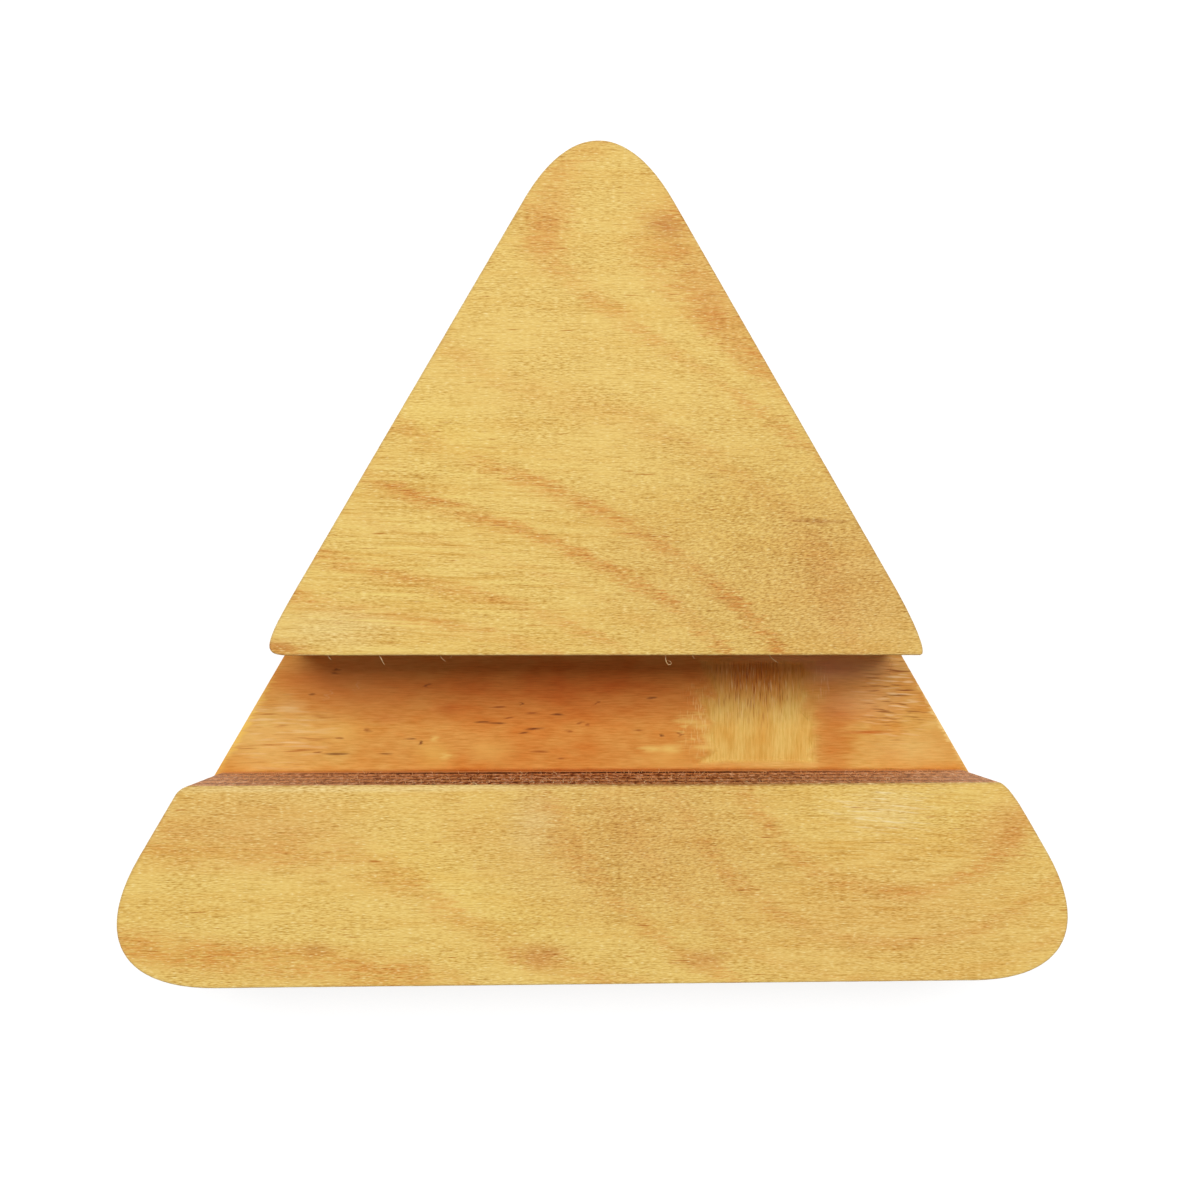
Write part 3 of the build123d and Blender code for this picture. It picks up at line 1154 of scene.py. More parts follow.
class PlyTree:
    """Geometry Nodes that raise a ply from its plan, row by row.

    The rows crowd towards the ply's two faces, where the glue line's notch and the arris's
    round-over are. Each row is drawn in from the plan by the notch, the round-over and the
    roughness of cut fibres, never out.
    """

    INPUTS = {
        "Rows": "NodeSocketInt",
        **dict.fromkeys(("Bottom", "Thickness", "Top Round", "Bottom Round", "Step", "Notch",
                         "Fuzz", "Rim", "Seed"), "NodeSocketFloat"),
        **dict.fromkeys(("Fibre Cells", "Grain"), "NodeSocketVector"),
        **dict.fromkeys(("Top Finish", "Bottom Finish", "Edge Finish"), "NodeSocketMaterial"),
    }
    notch_height = 0.07 * MM
    weld = 0.0001 * MM

    def __init__(self) -> None:
        """Build the tree."""
        self.tree = bpy.data.node_groups.new("raise_ply", "GeometryNodeTree")
        self.inputs = TreeInputs(self.tree, self.INPUTS)
        tree = self.tree
        self.given = add(tree, "NodeGroupInput")
        plan_here = add(tree, "GeometryNodeInputPosition")
        start = add(tree, "GeometryNodeStoreNamedAttribute", self.given.outputs["Geometry"],
                    None, PLAN, plan_here, data_type="FLOAT_VECTOR", domain="POINT")
        across = add(tree, "ShaderNodeVectorMath", self.outward(), self.given.outputs["Grain"],
                     operation="DOT_PRODUCT").outputs["Value"]
        start = add(tree, "GeometryNodeStoreNamedAttribute", start, None, END_GRAIN,
                    add(tree, "ShaderNodeMath", across, operation="ABSOLUTE"),
                    data_type="FLOAT", domain="POINT")
        first = self.row(start, None, 0.0)
        raised = self.rows_above(first)
        top = self.inner_ring(raised["Geometry"], raised["Top"], 1.0)
        under = self.inner_ring(first, None, 0.0)
        under = add(tree, "GeometryNodeFlipFaces", under)
        whole = add(tree, "GeometryNodeJoinGeometry")
        tree.links.new(under.outputs[0], whole.inputs[0])
        tree.links.new(top.outputs[0], whole.inputs[0])
        welded = add(tree, "GeometryNodeMergeByDistance", whole, named={"Distance": self.weld})
        tree.links.new(self.dressed(welded).outputs[0],
                       add(tree, "NodeGroupOutput").inputs["Geometry"])

    def attribute(self, name: str, kind: str) -> bpy.types.Node:
        """Add a named attribute's value."""
        return add(self.tree, "GeometryNodeInputNamedAttribute", name, data_type=kind)

    def outward(self) -> bpy.types.Node:
        """Add the level direction out of the block."""
        return self.attribute(OUTWARD, "FLOAT_VECTOR")

    def rounding(self, depth: Any, radius: Any) -> bpy.types.Node:
        """Add how far a quarter round draws a row in.

        Args:
            depth: how far the row is below the face, in metres.
            radius: the round-over's radius.

        Returns:
            The inset.
        """
        tree = self.tree
        inside = add(tree, "ShaderNodeMath", radius, depth, operation="SUBTRACT")
        leg = add(tree, "ShaderNodeMath", inside, 0.0, operation="MAXIMUM")
        square = add(tree, "ShaderNodeMath", leg, leg, operation="MULTIPLY")
        rest = add(tree, "ShaderNodeMath",
                   add(tree, "ShaderNodeMath", radius, radius, operation="MULTIPLY"),
                   square, operation="SUBTRACT")
        reach = add(tree, "ShaderNodeMath",
                    add(tree, "ShaderNodeMath", rest, 0.0, operation="MAXIMUM"),
                    operation="SQRT")
        return add(tree, "ShaderNodeMath", radius, reach, operation="SUBTRACT")

    def row(self, mesh: Any, selection: Any, share: Any) -> bpy.types.Node:
        """Put points on a row of the ply's edge, and give them their glue and rim values.

        Args:
            mesh: the geometry.
            selection: which points, or None for all.
            share: how far up the ply the row is, from 0 to 1.

        Returns:
            The last node of the geometry.
        """
        tree, given = self.tree, self.given.outputs
        turn = add(tree, "ShaderNodeMath", share, math.pi, operation="MULTIPLY")
        wave = add(tree, "ShaderNodeMath", turn, operation="COSINE")
        eased = add(tree, "ShaderNodeMapRange", wave, 1.0, -1.0, 0.0, 1.0)
        height = add(tree, "ShaderNodeMath", eased, given["Thickness"], operation="MULTIPLY")
        below_top = add(tree, "ShaderNodeMath", given["Thickness"], height, operation="SUBTRACT")
        to_face = add(tree, "ShaderNodeMath", height, below_top, operation="MINIMUM")
        glue = add(tree, "ShaderNodeMapRange", to_face, self.notch_height, 0.0, 0.0, 1.0)
        notch = add(tree, "ShaderNodeMath", glue, given["Notch"], operation="MULTIPLY")
        drawn_in = add(tree, "ShaderNodeMath", notch, given["Step"], operation="ADD")
        for depth, radius in ((below_top, "Top Round"), (height, "Bottom Round")):
            drawn_in = add(tree, "ShaderNodeMath", drawn_in,
                           self.rounding(depth, given[radius]), operation="ADD")
        plan_point = self.attribute(PLAN, "FLOAT_VECTOR")
        level = add(tree, "ShaderNodeMath", height, given["Bottom"], operation="ADD")
        spot = add(tree, "ShaderNodeVectorMath", plan_point,
                   add(tree, "ShaderNodeCombineXYZ", None, None, level), operation="ADD")
        cells = add(tree, "ShaderNodeVectorMath", spot, given["Fibre Cells"],
                    operation="MULTIPLY")
        rough = add(tree, "ShaderNodeTexNoise", cells, given["Seed"], 1.0, 2.0,
                    noise_dimensions="4D")
        clipped = add(tree, "ShaderNodeMapRange", rough, 0.2, 0.8, 0.0, 1.0)
        drawn_in = add(tree, "ShaderNodeMath", clipped, given["Fuzz"], drawn_in,
                       operation="MULTIPLY_ADD")
        inward = add(tree, "ShaderNodeVectorMath", self.outward(), named={"Scale": drawn_in},
                     operation="SCALE")
        target = add(tree, "ShaderNodeVectorMath", spot, inward, operation="SUBTRACT")
        moved = add(tree, "GeometryNodeSetPosition", mesh, selection, target)
        for name, value in ((GLUE, glue), (RIM, 1.0)):
            moved = add(tree, "GeometryNodeStoreNamedAttribute", moved, selection, name, value,
                        data_type="FLOAT", domain="POINT")
        return moved

    def rows_above(self, first: Any) -> Any:
        """Extrude the plan through the rest of the rows.

        Args:
            first: the plan, on the lowest row.

        Returns:
            The repeat zone's outputs.
        """
        tree = self.tree
        start = add(tree, "GeometryNodeRepeatInput")
        end = add(tree, "GeometryNodeRepeatOutput")
        start.pair_with_output(end)
        end.repeat_items.new("BOOLEAN", "Top")
        tree.links.new(self.given.outputs["Rows"], start.inputs["Iterations"])
        tree.links.new(first.outputs[0], start.inputs["Geometry"])
        start.inputs["Top"].default_value = True
        step = add(tree, "ShaderNodeMath", start.outputs["Iteration"], 1.0, operation="ADD")
        share = add(tree, "ShaderNodeMath", step, self.given.outputs["Rows"],
                    operation="DIVIDE")
        pulled = add(tree, "GeometryNodeExtrudeMesh", start.outputs["Geometry"],
                     start.outputs["Top"], named={"Offset Scale": 0.0, "Individual": False})
        moved = self.row(pulled, pulled.outputs["Top"], share)
        tree.links.new(moved.outputs[0], end.inputs["Geometry"])
        tree.links.new(pulled.outputs["Top"], end.inputs["Top"])
        return end.outputs

    def inner_ring(self, mesh: Any, selection: Any, share: float) -> bpy.types.Node:
        """Add a ring a little inside a face, where the rim's tone has faded out.

        Args:
            mesh: the geometry.
            selection: the face, or None for all.
            share: 1 for the top face and 0 for the bottom one; not used.

        Returns:
            The last node of the geometry.
        """
        tree, given = self.tree, self.given.outputs
        pulled = add(tree, "GeometryNodeExtrudeMesh", mesh, selection,
                     named={"Offset Scale": 0.0, "Individual": False})
        inward = add(tree, "ShaderNodeVectorMath", self.outward(),
                     named={"Scale": add(tree, "ShaderNodeMath", given["Rim"], -1.0,
                                         operation="MULTIPLY")}, operation="SCALE")
        moved = add(tree, "GeometryNodeSetPosition", pulled, pulled.outputs["Top"], None, inward)
        return add(tree, "GeometryNodeStoreNamedAttribute", moved, pulled.outputs["Top"], RIM,
                   0.0, data_type="FLOAT", domain="POINT")

    def dressed(self, mesh: Any) -> bpy.types.Node:
        """Smooth the edge, give each side its finish and drop what only the tree needs.

        Args:
            mesh: the geometry.

        Returns:
            The last node of the geometry.
        """
        tree, given = self.tree, self.given.outputs
        normal = add(tree, "GeometryNodeInputNormal")
        facing = add(tree, "ShaderNodeSeparateXYZ", normal).outputs["Z"]
        level = 0.999
        at_edge = add(tree, "FunctionNodeCompare",
                      add(tree, "ShaderNodeMath", facing, operation="ABSOLUTE"), level,
                      data_type="FLOAT", operation="LESS_THAN")
        last = add(tree, "GeometryNodeSetShadeSmooth", mesh, None, at_edge)
        last = add(tree, "GeometryNodeRealizeInstances", last)
        last = add(tree, "GeometryNodeSetMaterial", last, None, given["Edge Finish"])
        slight = 0.2
        for name, operation, limit in (("Top Finish", "GREATER_THAN", slight),
                                       ("Bottom Finish", "LESS_THAN", -slight)):
            towards = add(tree, "FunctionNodeCompare", facing, limit, data_type="FLOAT",
                          operation=operation)
            last = add(tree, "GeometryNodeSetMaterial", last, towards, given[name])
        for name in (PLAN, OUTWARD):
            last = add(tree, "GeometryNodeRemoveAttribute", last, name)
        return last


# ---------------------------------------------------------------- sub-assemblies


@dataclass
class PlyStack:
    """The thirteen plies, each a piece that stands for its CAD node or for a part of one.

    Attributes:
        spacing: distance between points along an edge.
        rows: rows of points up an edge.
        rim: how far the arris's tone reaches into a face.
        notch: how deep the glue line lies below the wood.
        fuzz: how deep the cut fibres are frayed.
        arris: the round-over of the two outer faces.
        step: how far a ply's edge may lie behind its neighbours'.
        fray: length and width of the frayed places, in mm.
    """

    spacing: float = 0.3 * MM
    rows: int = 14
    rim: float = 0.15 * MM
    notch: float = 0.035 * MM
    fuzz: float = 0.03 * MM
    arris: float = 0.15 * MM
    step: float = 0.02 * MM
    fray: tuple[float, float] = (2.5, 0.35)

    def __post_init__(self) -> None:
        """Make what all the plies share."""
        self.raise_ply = PlyTree()
        self.edges = {
            grain: PlyEdge(
                name=f"birch_ply_edge_{grain.name.lower()}", seed=3.0 + 4 * index,
                roughness=0.72, gloss=0.12, relief=0.03, grain=grain,
            ).build()
            for index, grain in enumerate(Grain)
        }
        self.fronts = {half: veneer.build() for half, veneer in FRONT_VENEER.items()}
        self.back = BACK_VENEER.build()
        self.bare = WORN_THROUGH.build()

    @staticmethod
    def slot_of(number: int) -> str:
        """The name of a ply's kind, which its CAD node's and piece's names begin with."""
        named = {1: "face_veneer", FLOOR_PLY: "floor_ply", PLY_COUNT: "back_veneer"}
        return named.get(number, "long_ply" if number % 2 else "cross_ply")

    def node_of(self, number: int, half: str) -> str:
        """Name the CAD node of a ply, or of one half of it.

        Args:
            number: the ply.
            half: "upper", "lower" or nothing.

        Returns:
            The node's name.
        """
        if number == PLY_COUNT:
            return "back_veneer"
        if number == FLOOR_PLY:
            return f"floor_ply_{number}"
        base = "face_veneer" if number == 1 else f"{self.slot_of(number)}_{number}"
        return f"{base}_{half}" if half else base

    @property
    def walls(self) -> tuple[float, float]:
        """Where the groove's near and far walls are, in metres."""
        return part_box(self.node_of(2, "lower"))[1].y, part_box(self.node_of(2, "upper"))[0].y

    def top_finish(self, number: int, half: str) -> bpy.types.Material:
        """What the front of a ply, or of one half of it, looks like."""
        if number == 1:
            return self.fronts[half]
        return self.bare if number == FLOOR_PLY + 1 else self.edges[Grain.of_ply(number)]

    def raised(self, number: int, half: str, plan: Plan) -> bpy.types.Object:
        """Make one piece of the stack.

        Args:
            number: the ply.
            half: "upper", "lower" or nothing.
            plan: its outline.

        Returns:
            The piece.
        """
        node = self.node_of(number, half)
        low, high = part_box(node)
        grain = Grain.of_ply(number)
        edge = self.edges[grain]
        draw = random.Random(f"{number}{half}")
        name = f"{self.slot_of(number)}_{number}_{half}".rstrip("_") + "_piece"
        piece = self.raise_ply.inputs.baked(
            name, plan.mesh(name), self.raise_ply.tree,
            {
                "Bottom": low.z,
                "Thickness": high.z - low.z,
                "Rows": self.rows,
                "Top Round": self.arris if number == 1 else 0.0,
                "Bottom Round": self.arris if number == PLY_COUNT else 0.0,
                "Step": draw.uniform(0.0, self.step) if number > 1 else 0.0,
                "Notch": self.notch if number not in (1, PLY_COUNT) else 0.0,
                "Fuzz": self.fuzz,
                "Fibre Cells": [cell * TO_MM for cell in grain.stretch(*self.fray)],
                "Grain": grain.value,
                "Rim": self.rim,
                "Seed": draw.uniform(0.0, 50.0),
                "Top Finish": self.top_finish(number, half),
                "Bottom Finish": self.back if number == PLY_COUNT else edge,
                "Edge Finish": edge,
            },
        )
        hand_over(piece, node)
        return piece

    def build(self) -> None:
        """Make every ply."""
        self.plans: dict[str, Plan] = {}
        for half, example in (("upper", 2), ("lower", 2), ("", FLOOR_PLY + 1)):
            node = self.node_of(example, half)
            self.plans[half] = Plan.of_node(node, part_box(node)[0].z, self.spacing)
        for number in range(1, PLY_COUNT + 1):
            for half in ("upper", "lower") if number <= FLOOR_PLY else ("",):
                self.raised(number, half, self.plans[half])


@dataclass
class GrooveFloor:
    """The skin that the cutter left as the groove's floor: rippled, and worn through at the right.

    Attributes:
        cell: distance between the mesh's points.
        skin: how thick the skin is where it is whole.
        tuck: how far it reaches under the plies at the groove's sides.
        sunk: how far below the skin's underside its torn edges end.
    """

    cell: float = 0.2 * MM
    skin: float = 0.25 * MM
    tuck: float = 0.05 * MM
    sunk: float = 0.015 * MM

    def thickness(self, x: float, y: float) -> float:
        """How thick the skin is at a point, and less than 0 where it is worn through.

        Args:
            x: millimetres along the groove.
            y: millimetres across it.

        Returns:
            The thickness in mm.
        """
        middle_x, middle_y, half_length, half_width, thickest = 18.8, -16.5, 7.6, 6.25, 0.32
        # The window's edge is torn in wide bays, and more finely within them.
        torn = noise.noise(Vector((x * 0.35, y * 0.45, 3.0))) * 1.8
        torn += noise.noise(Vector((x * 0.9, y * 1.2, 9.0))) * 0.6
        side = abs(x - middle_x) + torn - half_length
        lip = abs(y - middle_y) - half_width + torn * 0.1
        worn = clamped(-max(side, lip * 3.0) / 3.0)
        depth = 0.25 - 0.3 * worn * worn * (3 - 2 * worn)
        # Washboard by the right mouth, where the wood was torn up under a pressure bar.
        share = clamped((x - 27.0) / 6.0) * clamped((-y - 9.0) / 1.5) * clamped((y + 18.5) / 4.0)
        pitch, height = 0.86, 0.06
        bend = 1.4 * noise.noise(Vector((x * 0.25, y * 0.4, 0.0)))
        ripple = math.sin(y * math.tau / pitch + bend)
        depth += share * height * ripple * (0.6 + noise.noise(Vector((x * 0.3, y, 5.0))))
        return min(depth, thickest)

    def lines(self, stack: PlyStack) -> list[list[Vector]]:
        """Spread points over the floor, in lines across the groove.

        Args:
            stack: the plies, which know the block's plans.

        Returns:
            The lines from left to right, all with the same number of points.
        """
        narrowest = 0.03 * MM
        near_wall, far_wall = stack.walls
        whole = stack.plans[""]
        reach = max(point.x for point in whole.points)
        columns = round(2 * reach / self.cell)
        rows = round((far_wall - near_wall) / self.cell)
        grid: list[list[Vector]] = []
        for column in range(columns + 1):
            x = -reach + 2 * reach * column / columns
            crossed = whole.crossings(x)
            if not crossed:
                continue
            above = stack.plans["upper"].crossings(x)
            below = stack.plans["lower"].crossings(x)
            top = min(crossed[-1], above[0] + self.tuck) if above else crossed[-1]
            bottom = max(crossed[0], below[-1] - self.tuck) if below else crossed[0]
            if top - bottom >= narrowest:
                grid.append([Vector((x, bottom + (top - bottom) * row / rows, 0.0))
                             for row in range(rows + 1)])
        return grid

    def top_side(self, mesh: bmesh.types.BMesh, grid: list[list[Vector]], base: float) -> None:
        """Make the skin's upper side, with a hole where it is worn through.

        Args:
            mesh: the mesh that gets it.
            grid: its points in lines.
            base: the height of the skin's underside.
        """
        skin_of = mesh.verts.layers.float.new(SKIN)
        upper: list[list[Any]] = []
        for line in grid:
            upper.append([])
            for point in line:
                thick = self.thickness(point.x * TO_MM, point.y * TO_MM) * MM
                thick = max(thick, -self.sunk)
                vert = mesh.verts.new((point.x, point.y, base + thick))
                vert[skin_of] = clamped(thick / self.skin)
                upper[-1].append(vert)
        for left, right in zip(upper, upper[1:]):
            for row in range(len(left) - 1):
                corners = (left[row], right[row], right[row + 1], left[row + 1])
                if max(corner.co.z for corner in corners) > base - self.sunk * 0.5:
                    mesh.faces.new(corners).smooth = True
        loose = [vert for vert in mesh.verts if not vert.link_faces]
        bmesh.ops.delete(mesh, geom=loose, context="VERTS")

    def build(self, stack: PlyStack) -> bpy.types.Object:
        """Make the skin.

        Args:
            stack: the plies, which know the block's plans.

        Returns:
            The piece.
        """
        name, node = "groove_floor_piece", f"floor_ply_{FLOOR_PLY}"
        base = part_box(node)[0].z
        mesh = bmesh.new()
        self.top_side(mesh, self.lines(stack), base)
        made = bmesh.ops.duplicate(mesh, geom=list(mesh.faces))
        under = [item for item in made["geom"] if isinstance(item, bmesh.types.BMFace)]
        for vert in {vert for face in under for vert in face.verts}:
            vert.co.z = base - 2 * self.sunk
        bmesh.ops.reverse_faces(mesh, faces=under)
        self.close_sides(mesh, made)
        bmesh.ops.recalc_face_normals(mesh, faces=mesh.faces)
        data = bpy.data.meshes.new(name)
        mesh.to_mesh(data)
        mesh.free()
        data.materials.append(GROOVE_FLOOR.build())
        piece = shown(name, data)
        hand_over(piece, node)
        return piece

    @staticmethod
    def close_sides(mesh: bmesh.types.BMesh, made: dict[str, Any]) -> None:
        """Join the borders of the top and its copy below.

        Args:
            mesh: the mesh that holds both.
            made: what the duplication gave, with its map from old to new.
        """
        twin = made["vert_map"]
        for edge in [edge for edge in mesh.edges if edge.is_boundary]:
            first, second = edge.verts
            if first in twin and second in twin and twin[first].co.z < first.co.z:
                mesh.faces.new((first, second, twin[second], twin[first]))


class FuzzTree:
    """Geometry Nodes that stand short torn fibres on a scatter of points, by fixed seeds."""

    INPUTS = {
        **dict.fromkeys(("Presence", "Shortest", "Longest", "Slenderness"), "NodeSocketFloat"),
        **dict.fromkeys(("Jitter", "Lowest Turn", "Highest Turn"), "NodeSocketVector"),
        "Seed": "NodeSocketInt",
        "Finish": "NodeSocketMaterial",
    }
    segments = 4
    sides = 3

    def __init__(self) -> None:
        """Build the tree."""
        tree = self.tree = bpy.data.node_groups.new("stand_fibres", "GeometryNodeTree")
        self.inputs = TreeInputs(tree, self.INPUTS)
        given = add(tree, "NodeGroupInput").outputs
        jitter = add(
            tree, "FunctionNodeRandomValue",
            add(tree, "ShaderNodeVectorMath", given["Jitter"], (-1.0,) * 3,
                operation="MULTIPLY"),
            given["Jitter"], named={"Seed": given["Seed"]}, data_type="FLOAT_VECTOR",
        )
        points = add(tree, "GeometryNodeMeshToPoints", given["Geometry"])
        points = add(tree, "GeometryNodeSetPosition", points, None, None, jitter)
        kept = add(tree, "FunctionNodeRandomValue", data_type="BOOLEAN",
                   named={"Probability": given["Presence"],
                          "Seed": self.seed_after(given["Seed"], 1)})
        turn = add(tree, "FunctionNodeRandomValue", given["Lowest Turn"], given["Highest Turn"],
                   named={"Seed": self.seed_after(given["Seed"], 2)}, data_type="FLOAT_VECTOR")
        length = add(tree, "FunctionNodeRandomValue", data_type="FLOAT",
                     named={"Min": given["Shortest"], "Max": given["Longest"],
                            "Seed": self.seed_after(given["Seed"], 3)})
        stood = add(tree, "GeometryNodeInstanceOnPoints", named={
            "Points": points, "Selection": kept, "Instance": self.fibre(given["Slenderness"]),
            "Rotation": add(tree, "FunctionNodeEulerToRotation", turn), "Scale": length,
        })
        real = add(tree, "GeometryNodeRealizeInstances", stood)
        dressed = add(tree, "GeometryNodeSetMaterial", real, None, given["Finish"])
        tree.links.new(dressed.outputs[0], add(tree, "NodeGroupOutput").inputs["Geometry"])

    def seed_after(self, seed: Any, step: int) -> bpy.types.Node:
        """Add a seed that differs from another by a step."""
        return add(self.tree, "ShaderNodeMath", seed, float(step), operation="ADD")

    def fibre(self, slenderness: Any) -> bpy.types.Node:
        """Add one curved, tapering fibre of unit length along X.

        Args:
            slenderness: its thickness at the root, as a share of its length.

        Returns:
            The fibre's node.
        """
        tree = self.tree
        line = add(tree, "GeometryNodeCurveQuadraticBezier", self.segments, (0.0, 0.0, 0.0),
                   (0.6, -0.1, 0.0), (0.85, 0.45, 0.2))
        along = add(tree, "GeometryNodeSplineParameter").outputs["Factor"]
        taper = add(tree, "ShaderNodeMapRange", along, 0.0, 1.0, 1.0, 0.3)
        thickness = add(tree, "ShaderNodeMath", taper, slenderness, operation="MULTIPLY")
        ring = add(tree, "GeometryNodeCurvePrimitiveCircle", self.sides, named={"Radius": 1.0})
        return add(tree, "GeometryNodeCurveToMesh", named={
            "Curve": line, "Profile Curve": ring, "Scale": thickness, "Fill Caps": True,
        })


@dataclass(frozen=True)
class Splinter:
    """A long fibre torn up at a lip of the groove.

    Attributes:
        route: the points that its curve follows, in mm.
        thickness: its thickness at the root, in mm.
    """

    route: tuple[tuple[float, float, float], ...]
    thickness: float = 0.09


@dataclass
class LooseFibres:
    """Fuzz on the groove's walls and lips, and the few long splinters there.

    Attributes:
        splinters: the long ones.
        pitch: distance between the points that the fuzz is scattered round.
        root: how deep its fibres are rooted in a wall.
        shortest: the shortest fibre's length, in mm.
        swing: how far a fibre may point to either side, in degrees.
        jitter: how far a fibre may stand from its point along X, Y and Z, in mm.
    """

    splinters: tuple[Splinter, ...] = (
        Splinter(((-22.9, -9.7, 17.3), (-22.6, -10.1, 17.5), (-22.45, -10.55, 17.3),
                  (-22.3, -10.8, 17.2)), 0.11),
        Splinter(((-28.2, -9.7, 17.2), (-28.0, -10.1, 17.3), (-27.8, -10.3, 17.1))),
        Splinter(((-16.6, -9.7, 17.1), (-16.4, -10.2, 17.2), (-16.0, -10.45, 16.9))),
        Splinter(((7.0, -9.7, 17.0), (7.0, -10.6, 17.2), (7.5, -10.9, 17.1),
                  (7.7, -10.5, 17.0), (7.3, -10.4, 16.9))),
        Splinter(((9.8, -9.7, 17.2), (9.85, -10.1, 17.4), (10.1, -10.15, 17.1)), 0.12),
        Splinter(((18.0, -9.7, 16.6), (18.3, -10.3, 16.7), (19.0, -10.6, 16.4))),
        Splinter(((-13.5, -23.4, 17.4), (-13.2, -23.0, 17.6), (-12.7, -23.1, 17.75),
                  (-12.4, -23.5, 17.8)), 0.1),
    )
    pitch: float = 0.22 * MM
    root: float = 0.03 * MM
    shortest: float = 0.12
    swing: float = 65.0
    jitter: tuple[float, float, float] = (0.2, 0.0, 0.4)

    def __post_init__(self) -> None:
        """Make what the fibres share."""
        self.finish = TORN_FIBRE.build()
        self.scorched = SCORCHED_FIBRE.build()
        self.fuzz_tree = FuzzTree()

    def wall_points(
        self, name: str, y: float, reach: float, heights: Sequence[float],
    ) -> bpy.types.Mesh:
        """Points in level lines on a wall of the groove.

        Args:
            name: the mesh's name.
            y: where the wall is.
            reach: how far the lines go to the left and to the right.
            heights: the lines' heights in metres.

        Returns:
            A mesh of loose points.
        """
        count = round(2 * reach / self.pitch)
        steps = [-reach + self.pitch * step for step in range(count + 1)]
        mesh = bpy.data.meshes.new(name)
        mesh.from_pydata([(x, y, height) for height in heights for x in steps], [], [])
        return mesh

    def fuzz(self, name: str, y: float, reach: float, turn: float, heights: Sequence[float],
             presence: float, longest: float, seed: int, node: str) -> bpy.types.Object:
        """Make one wall's fuzz.

        Args:
            name: the piece's name.
            y: where its fibres are rooted.
            reach: how far they go to the left and to the right, in mm.
            turn: the way they point, in degrees from the X axis.
            heights: the heights that they are scattered round, in mm.
            presence: the share of points that have a fibre.
            longest: the longest fibre's length in mm.
            seed: the scatter's seed.
            node: the CAD node whose wall the fibres stand on; its name chooses their finish.

        Returns:
            The piece.
        """
        swing, middle = math.radians(self.swing), math.radians(turn)
        piece = self.fuzz_tree.inputs.baked(
            name, self.wall_points(name, y, reach * MM, [height * MM for height in heights]),
            self.fuzz_tree.tree,
            {
                "Presence": presence,
                "Shortest": self.shortest * MM,
                "Longest": longest * MM,
                "Slenderness": 0.08,
                "Jitter": tuple(reach * MM for reach in self.jitter),
                "Lowest Turn": (0.0, -0.5, middle - swing),
                "Highest Turn": (math.tau, 0.3, middle + swing),
                "Seed": seed,
                "Finish": self.finish if "veneer" in node else self.scorched,
            },
        )
        hand_over(piece)
        return piece

    def long_ones(self) -> bpy.types.Object:
        """Make the long splinters as one mesh of tapering tubes."""
        curve = bpy.data.curves.new("splinters", "CURVE")
        curve.dimensions = "3D"
        curve.bevel_depth = 0.5 * MM
        curve.bevel_resolution = 1
        curve.resolution_u = 6
        curve.use_fill_caps = True
        for splinter in self.splinters:
            spline = curve.splines.new("NURBS")
            last = len(splinter.route) - 1
            spline.points.add(last)
            for index, (point, place) in enumerate(zip(spline.points, splinter.route)):
                point.co = (*(value * MM for value in place), 1.0)
                point.radius = splinter.thickness * (1.0 - 0.7 * index / last)
            spline.order_u = 3
            spline.use_endpoint_u = True
        source = shown("splinters_curve", curve)
        mesh = evaluated_mesh(source)
        bpy.data.objects.remove(source)
        mesh.materials.clear()
        mesh.materials.append(self.finish)
        piece = shown("lip_splinters", mesh)
        hand_over(piece)
        return piece

    def build(self, stack: PlyStack) -> None:
        """Make all the loose fibres on the walls of the plies' groove.

        Args:
            stack: the plies, which know where the walls are.
        """
        near_wall, far_wall = stack.walls
        near, near_reach = near_wall - self.root, 41.5
        far, far_reach = far_wall + self.root, 32.0
        across = 90.0
        wall_heights = [8.0 + step for step in range(9)]
        self.fuzz("near_wall_fuzz", near, near_reach, across, wall_heights, 0.16, 0.5, 11,
                  "cross_ply_2_lower")
        self.fuzz("near_lip_fuzz", near, near_reach, across, [16.6, 16.9], 0.12, 0.45, 23,
                  "face_veneer_lower")
        self.fuzz("far_lip_fuzz", far, far_reach, -across, [16.9], 0.02, 0.4, 37,
                  "face_veneer_upper")
        self.long_ones()


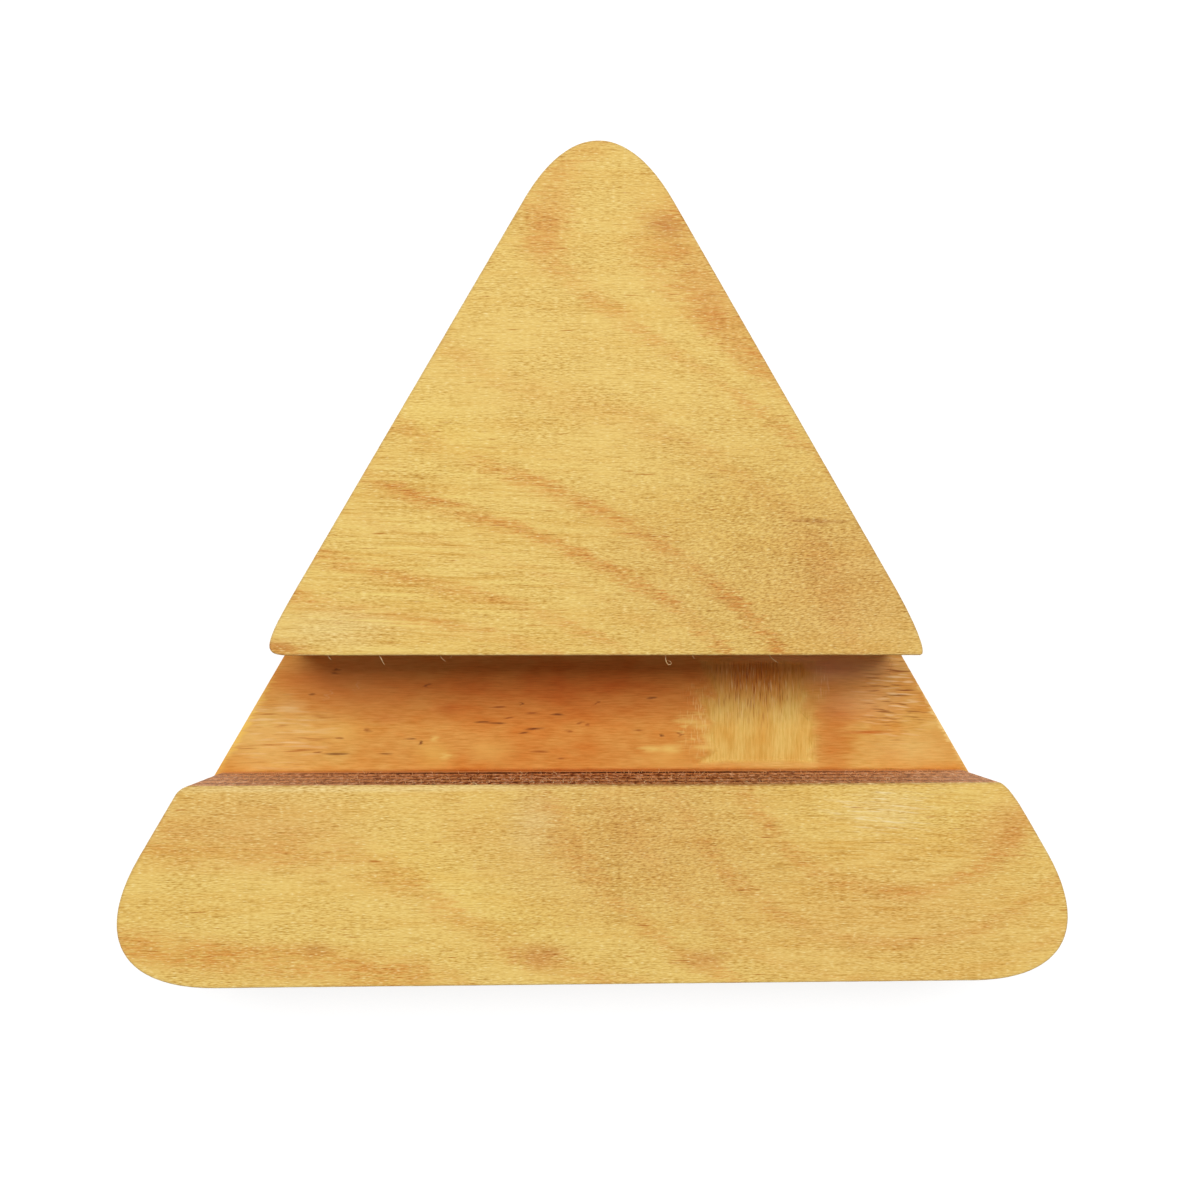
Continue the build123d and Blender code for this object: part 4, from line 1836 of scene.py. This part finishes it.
@dataclass
class Studio:
    """Pale floor, soft light and the camera.

    Attributes:
        key_share: how much of the light comes from the softbox, and the rest from all round.
        key_tilt: how far the softbox leans from straight above towards the apex, in degrees.
        key_distance: how far it is from the block.
        key_size: its width and its depth.
        camera_place: where the camera is.
        camera_turn: its turns about X, Y and Z, in degrees.
        camera_shift: how far its picture is shifted, as shares of the width.
        lens: its focal length in mm.
    """

    key_share: float = 0.75
    key_tilt: float = 21.0
    key_distance: float = 1.4
    key_size: tuple[float, float] = (1.5, 0.66)
    camera_place: tuple[float, float, float] = (-3.62 * MM, -8.05 * MM, 136.9 * MM)
    camera_turn: tuple[float, float, float] = (0.483, -1.966, 0.015)
    camera_shift: tuple[float, float] = (-0.0029, 0.0239)
    lens: float = 34.32

    def camera(self) -> None:
        """Put the camera above the block."""
        data = bpy.data.cameras.new("camera")
        data.lens = self.lens
        data.sensor_width = 36.0
        data.shift_x, data.shift_y = self.camera_shift
        data.clip_start = 0.01
        data.clip_end = 10.0
        camera = shown("camera", data)
        turn = Matrix.Identity(4)
        for angle, axis in zip(self.camera_turn, "XYZ"):
            turn = turn @ Matrix.Rotation(math.radians(angle), 4, axis)
        camera.matrix_world = Matrix.Translation(self.camera_place) @ turn
        bpy.context.scene.camera = camera

    def light_per_watt(self, place: Matrix) -> float:
        """How bright one watt of the softbox makes a white sheet that lies at the origin.

        Args:
            place: the softbox's place.

        Returns:
            The sheet's radiance for one watt.
        """
        width, depth = self.key_size
        cells = 20
        normal = place.to_3x3() @ Vector((0.0, 0.0, -1.0))
        total = 0.0
        for column in range(cells):
            for row in range(cells):
                spot = place @ Vector((((column + 0.5) / cells - 0.5) * width,
                                       ((row + 0.5) / cells - 0.5) * depth, 0.0))
                way = spot.normalized()
                total += way.z * -way.dot(normal) / spot.length_squared
        return total / cells ** 2 / math.pi ** 2

    def lamp(self) -> None:
        """Add the one softbox, at a level where a white sheet under it renders as white."""
        data = bpy.data.lights.new("key", "AREA")
        data.shape = "RECTANGLE"
        data.size, data.size_y = self.key_size
        turned = Matrix.Rotation(math.radians(-self.key_tilt), 4, "X")
        place = turned @ Matrix.Translation((0.0, 0.0, self.key_distance))
        data.energy = self.key_share / self.light_per_watt(place)
        shown("key", data).matrix_world = place

    def seen_directly(self, tree: bpy.types.NodeTree) -> Any:
        """Add 1 for rays that show the surroundings, and 0 for those that light the block.

        Args:
            tree: the tree that gets it.

        Returns:
            The value's node.
        """
        path = add(tree, "ShaderNodeLightPath").outputs
        total = path["Is Camera Ray"]
        for kind in ("Is Glossy Ray", "Is Transmission Ray"):
            total = add(tree, "ShaderNodeMath", total, path[kind], operation="MAXIMUM")
        return total

    def world(self) -> None:
        """Surround the block with even light, seen as white."""
        world = bpy.data.worlds.new("surroundings")
        bpy.context.scene.world = world
        world.use_nodes = True
        tree = world.node_tree
        strength = add(tree, "ShaderNodeMapRange", self.seen_directly(tree), 0.0, 1.0,
                       1.0 - self.key_share, 1.0)
        background = tree.nodes["Background"]
        background.inputs["Color"].default_value = srgb("#FFFFFF")
        tree.links.new(strength.outputs[0], background.inputs["Strength"])

    def floor(self) -> None:
        """Lay the floor that the block lies on.

        It is matt white paper: the eye sees it as an even white, with a soft grey shadow under
        the block, and its light is what brightens the block's sides.
        """
        data = bpy.data.meshes.new("studio_floor")
        half = 0.5
        data.from_pydata([(-half, -half, 0), (half, -half, 0), (half, half, 0), (-half, half, 0)],
                         [], [(0, 1, 2, 3)])
        floor = shown("studio_floor", data)
        material = bpy.data.materials.new("paper_white_matt")
        material.use_nodes = True
        tree = material.node_tree
        tree.nodes.clear()
        lit = add(tree, "ShaderNodeBsdfDiffuse", srgb("#EDEDEA"))
        seen = add(tree, "ShaderNodeAddShader",
                   add(tree, "ShaderNodeBsdfDiffuse", srgb("#9A9A9A")),
                   add(tree, "ShaderNodeEmission", srgb("#FFFFFF"), 0.78))
        mixed = add(tree, "ShaderNodeMixShader", self.seen_directly(tree), lit, seen)
        add(tree, "ShaderNodeOutputMaterial", mixed)
        data.materials.append(material)

    def build(self) -> None:
        """Set the whole studio up."""
        self.camera()
        self.lamp()
        self.world()
        self.floor()
        bpy.context.scene.view_settings.view_transform = "Standard"


def main() -> None:
    """Build the studio and every piece."""
    logging.basicConfig(level=logging.INFO, format="%(name)s: %(message)s")
    Studio().build()
    stack = PlyStack()
    stack.build()
    GrooveFloor().build(stack)
    LooseFibres().build(stack)


if __name__ == "__main__":
    main()
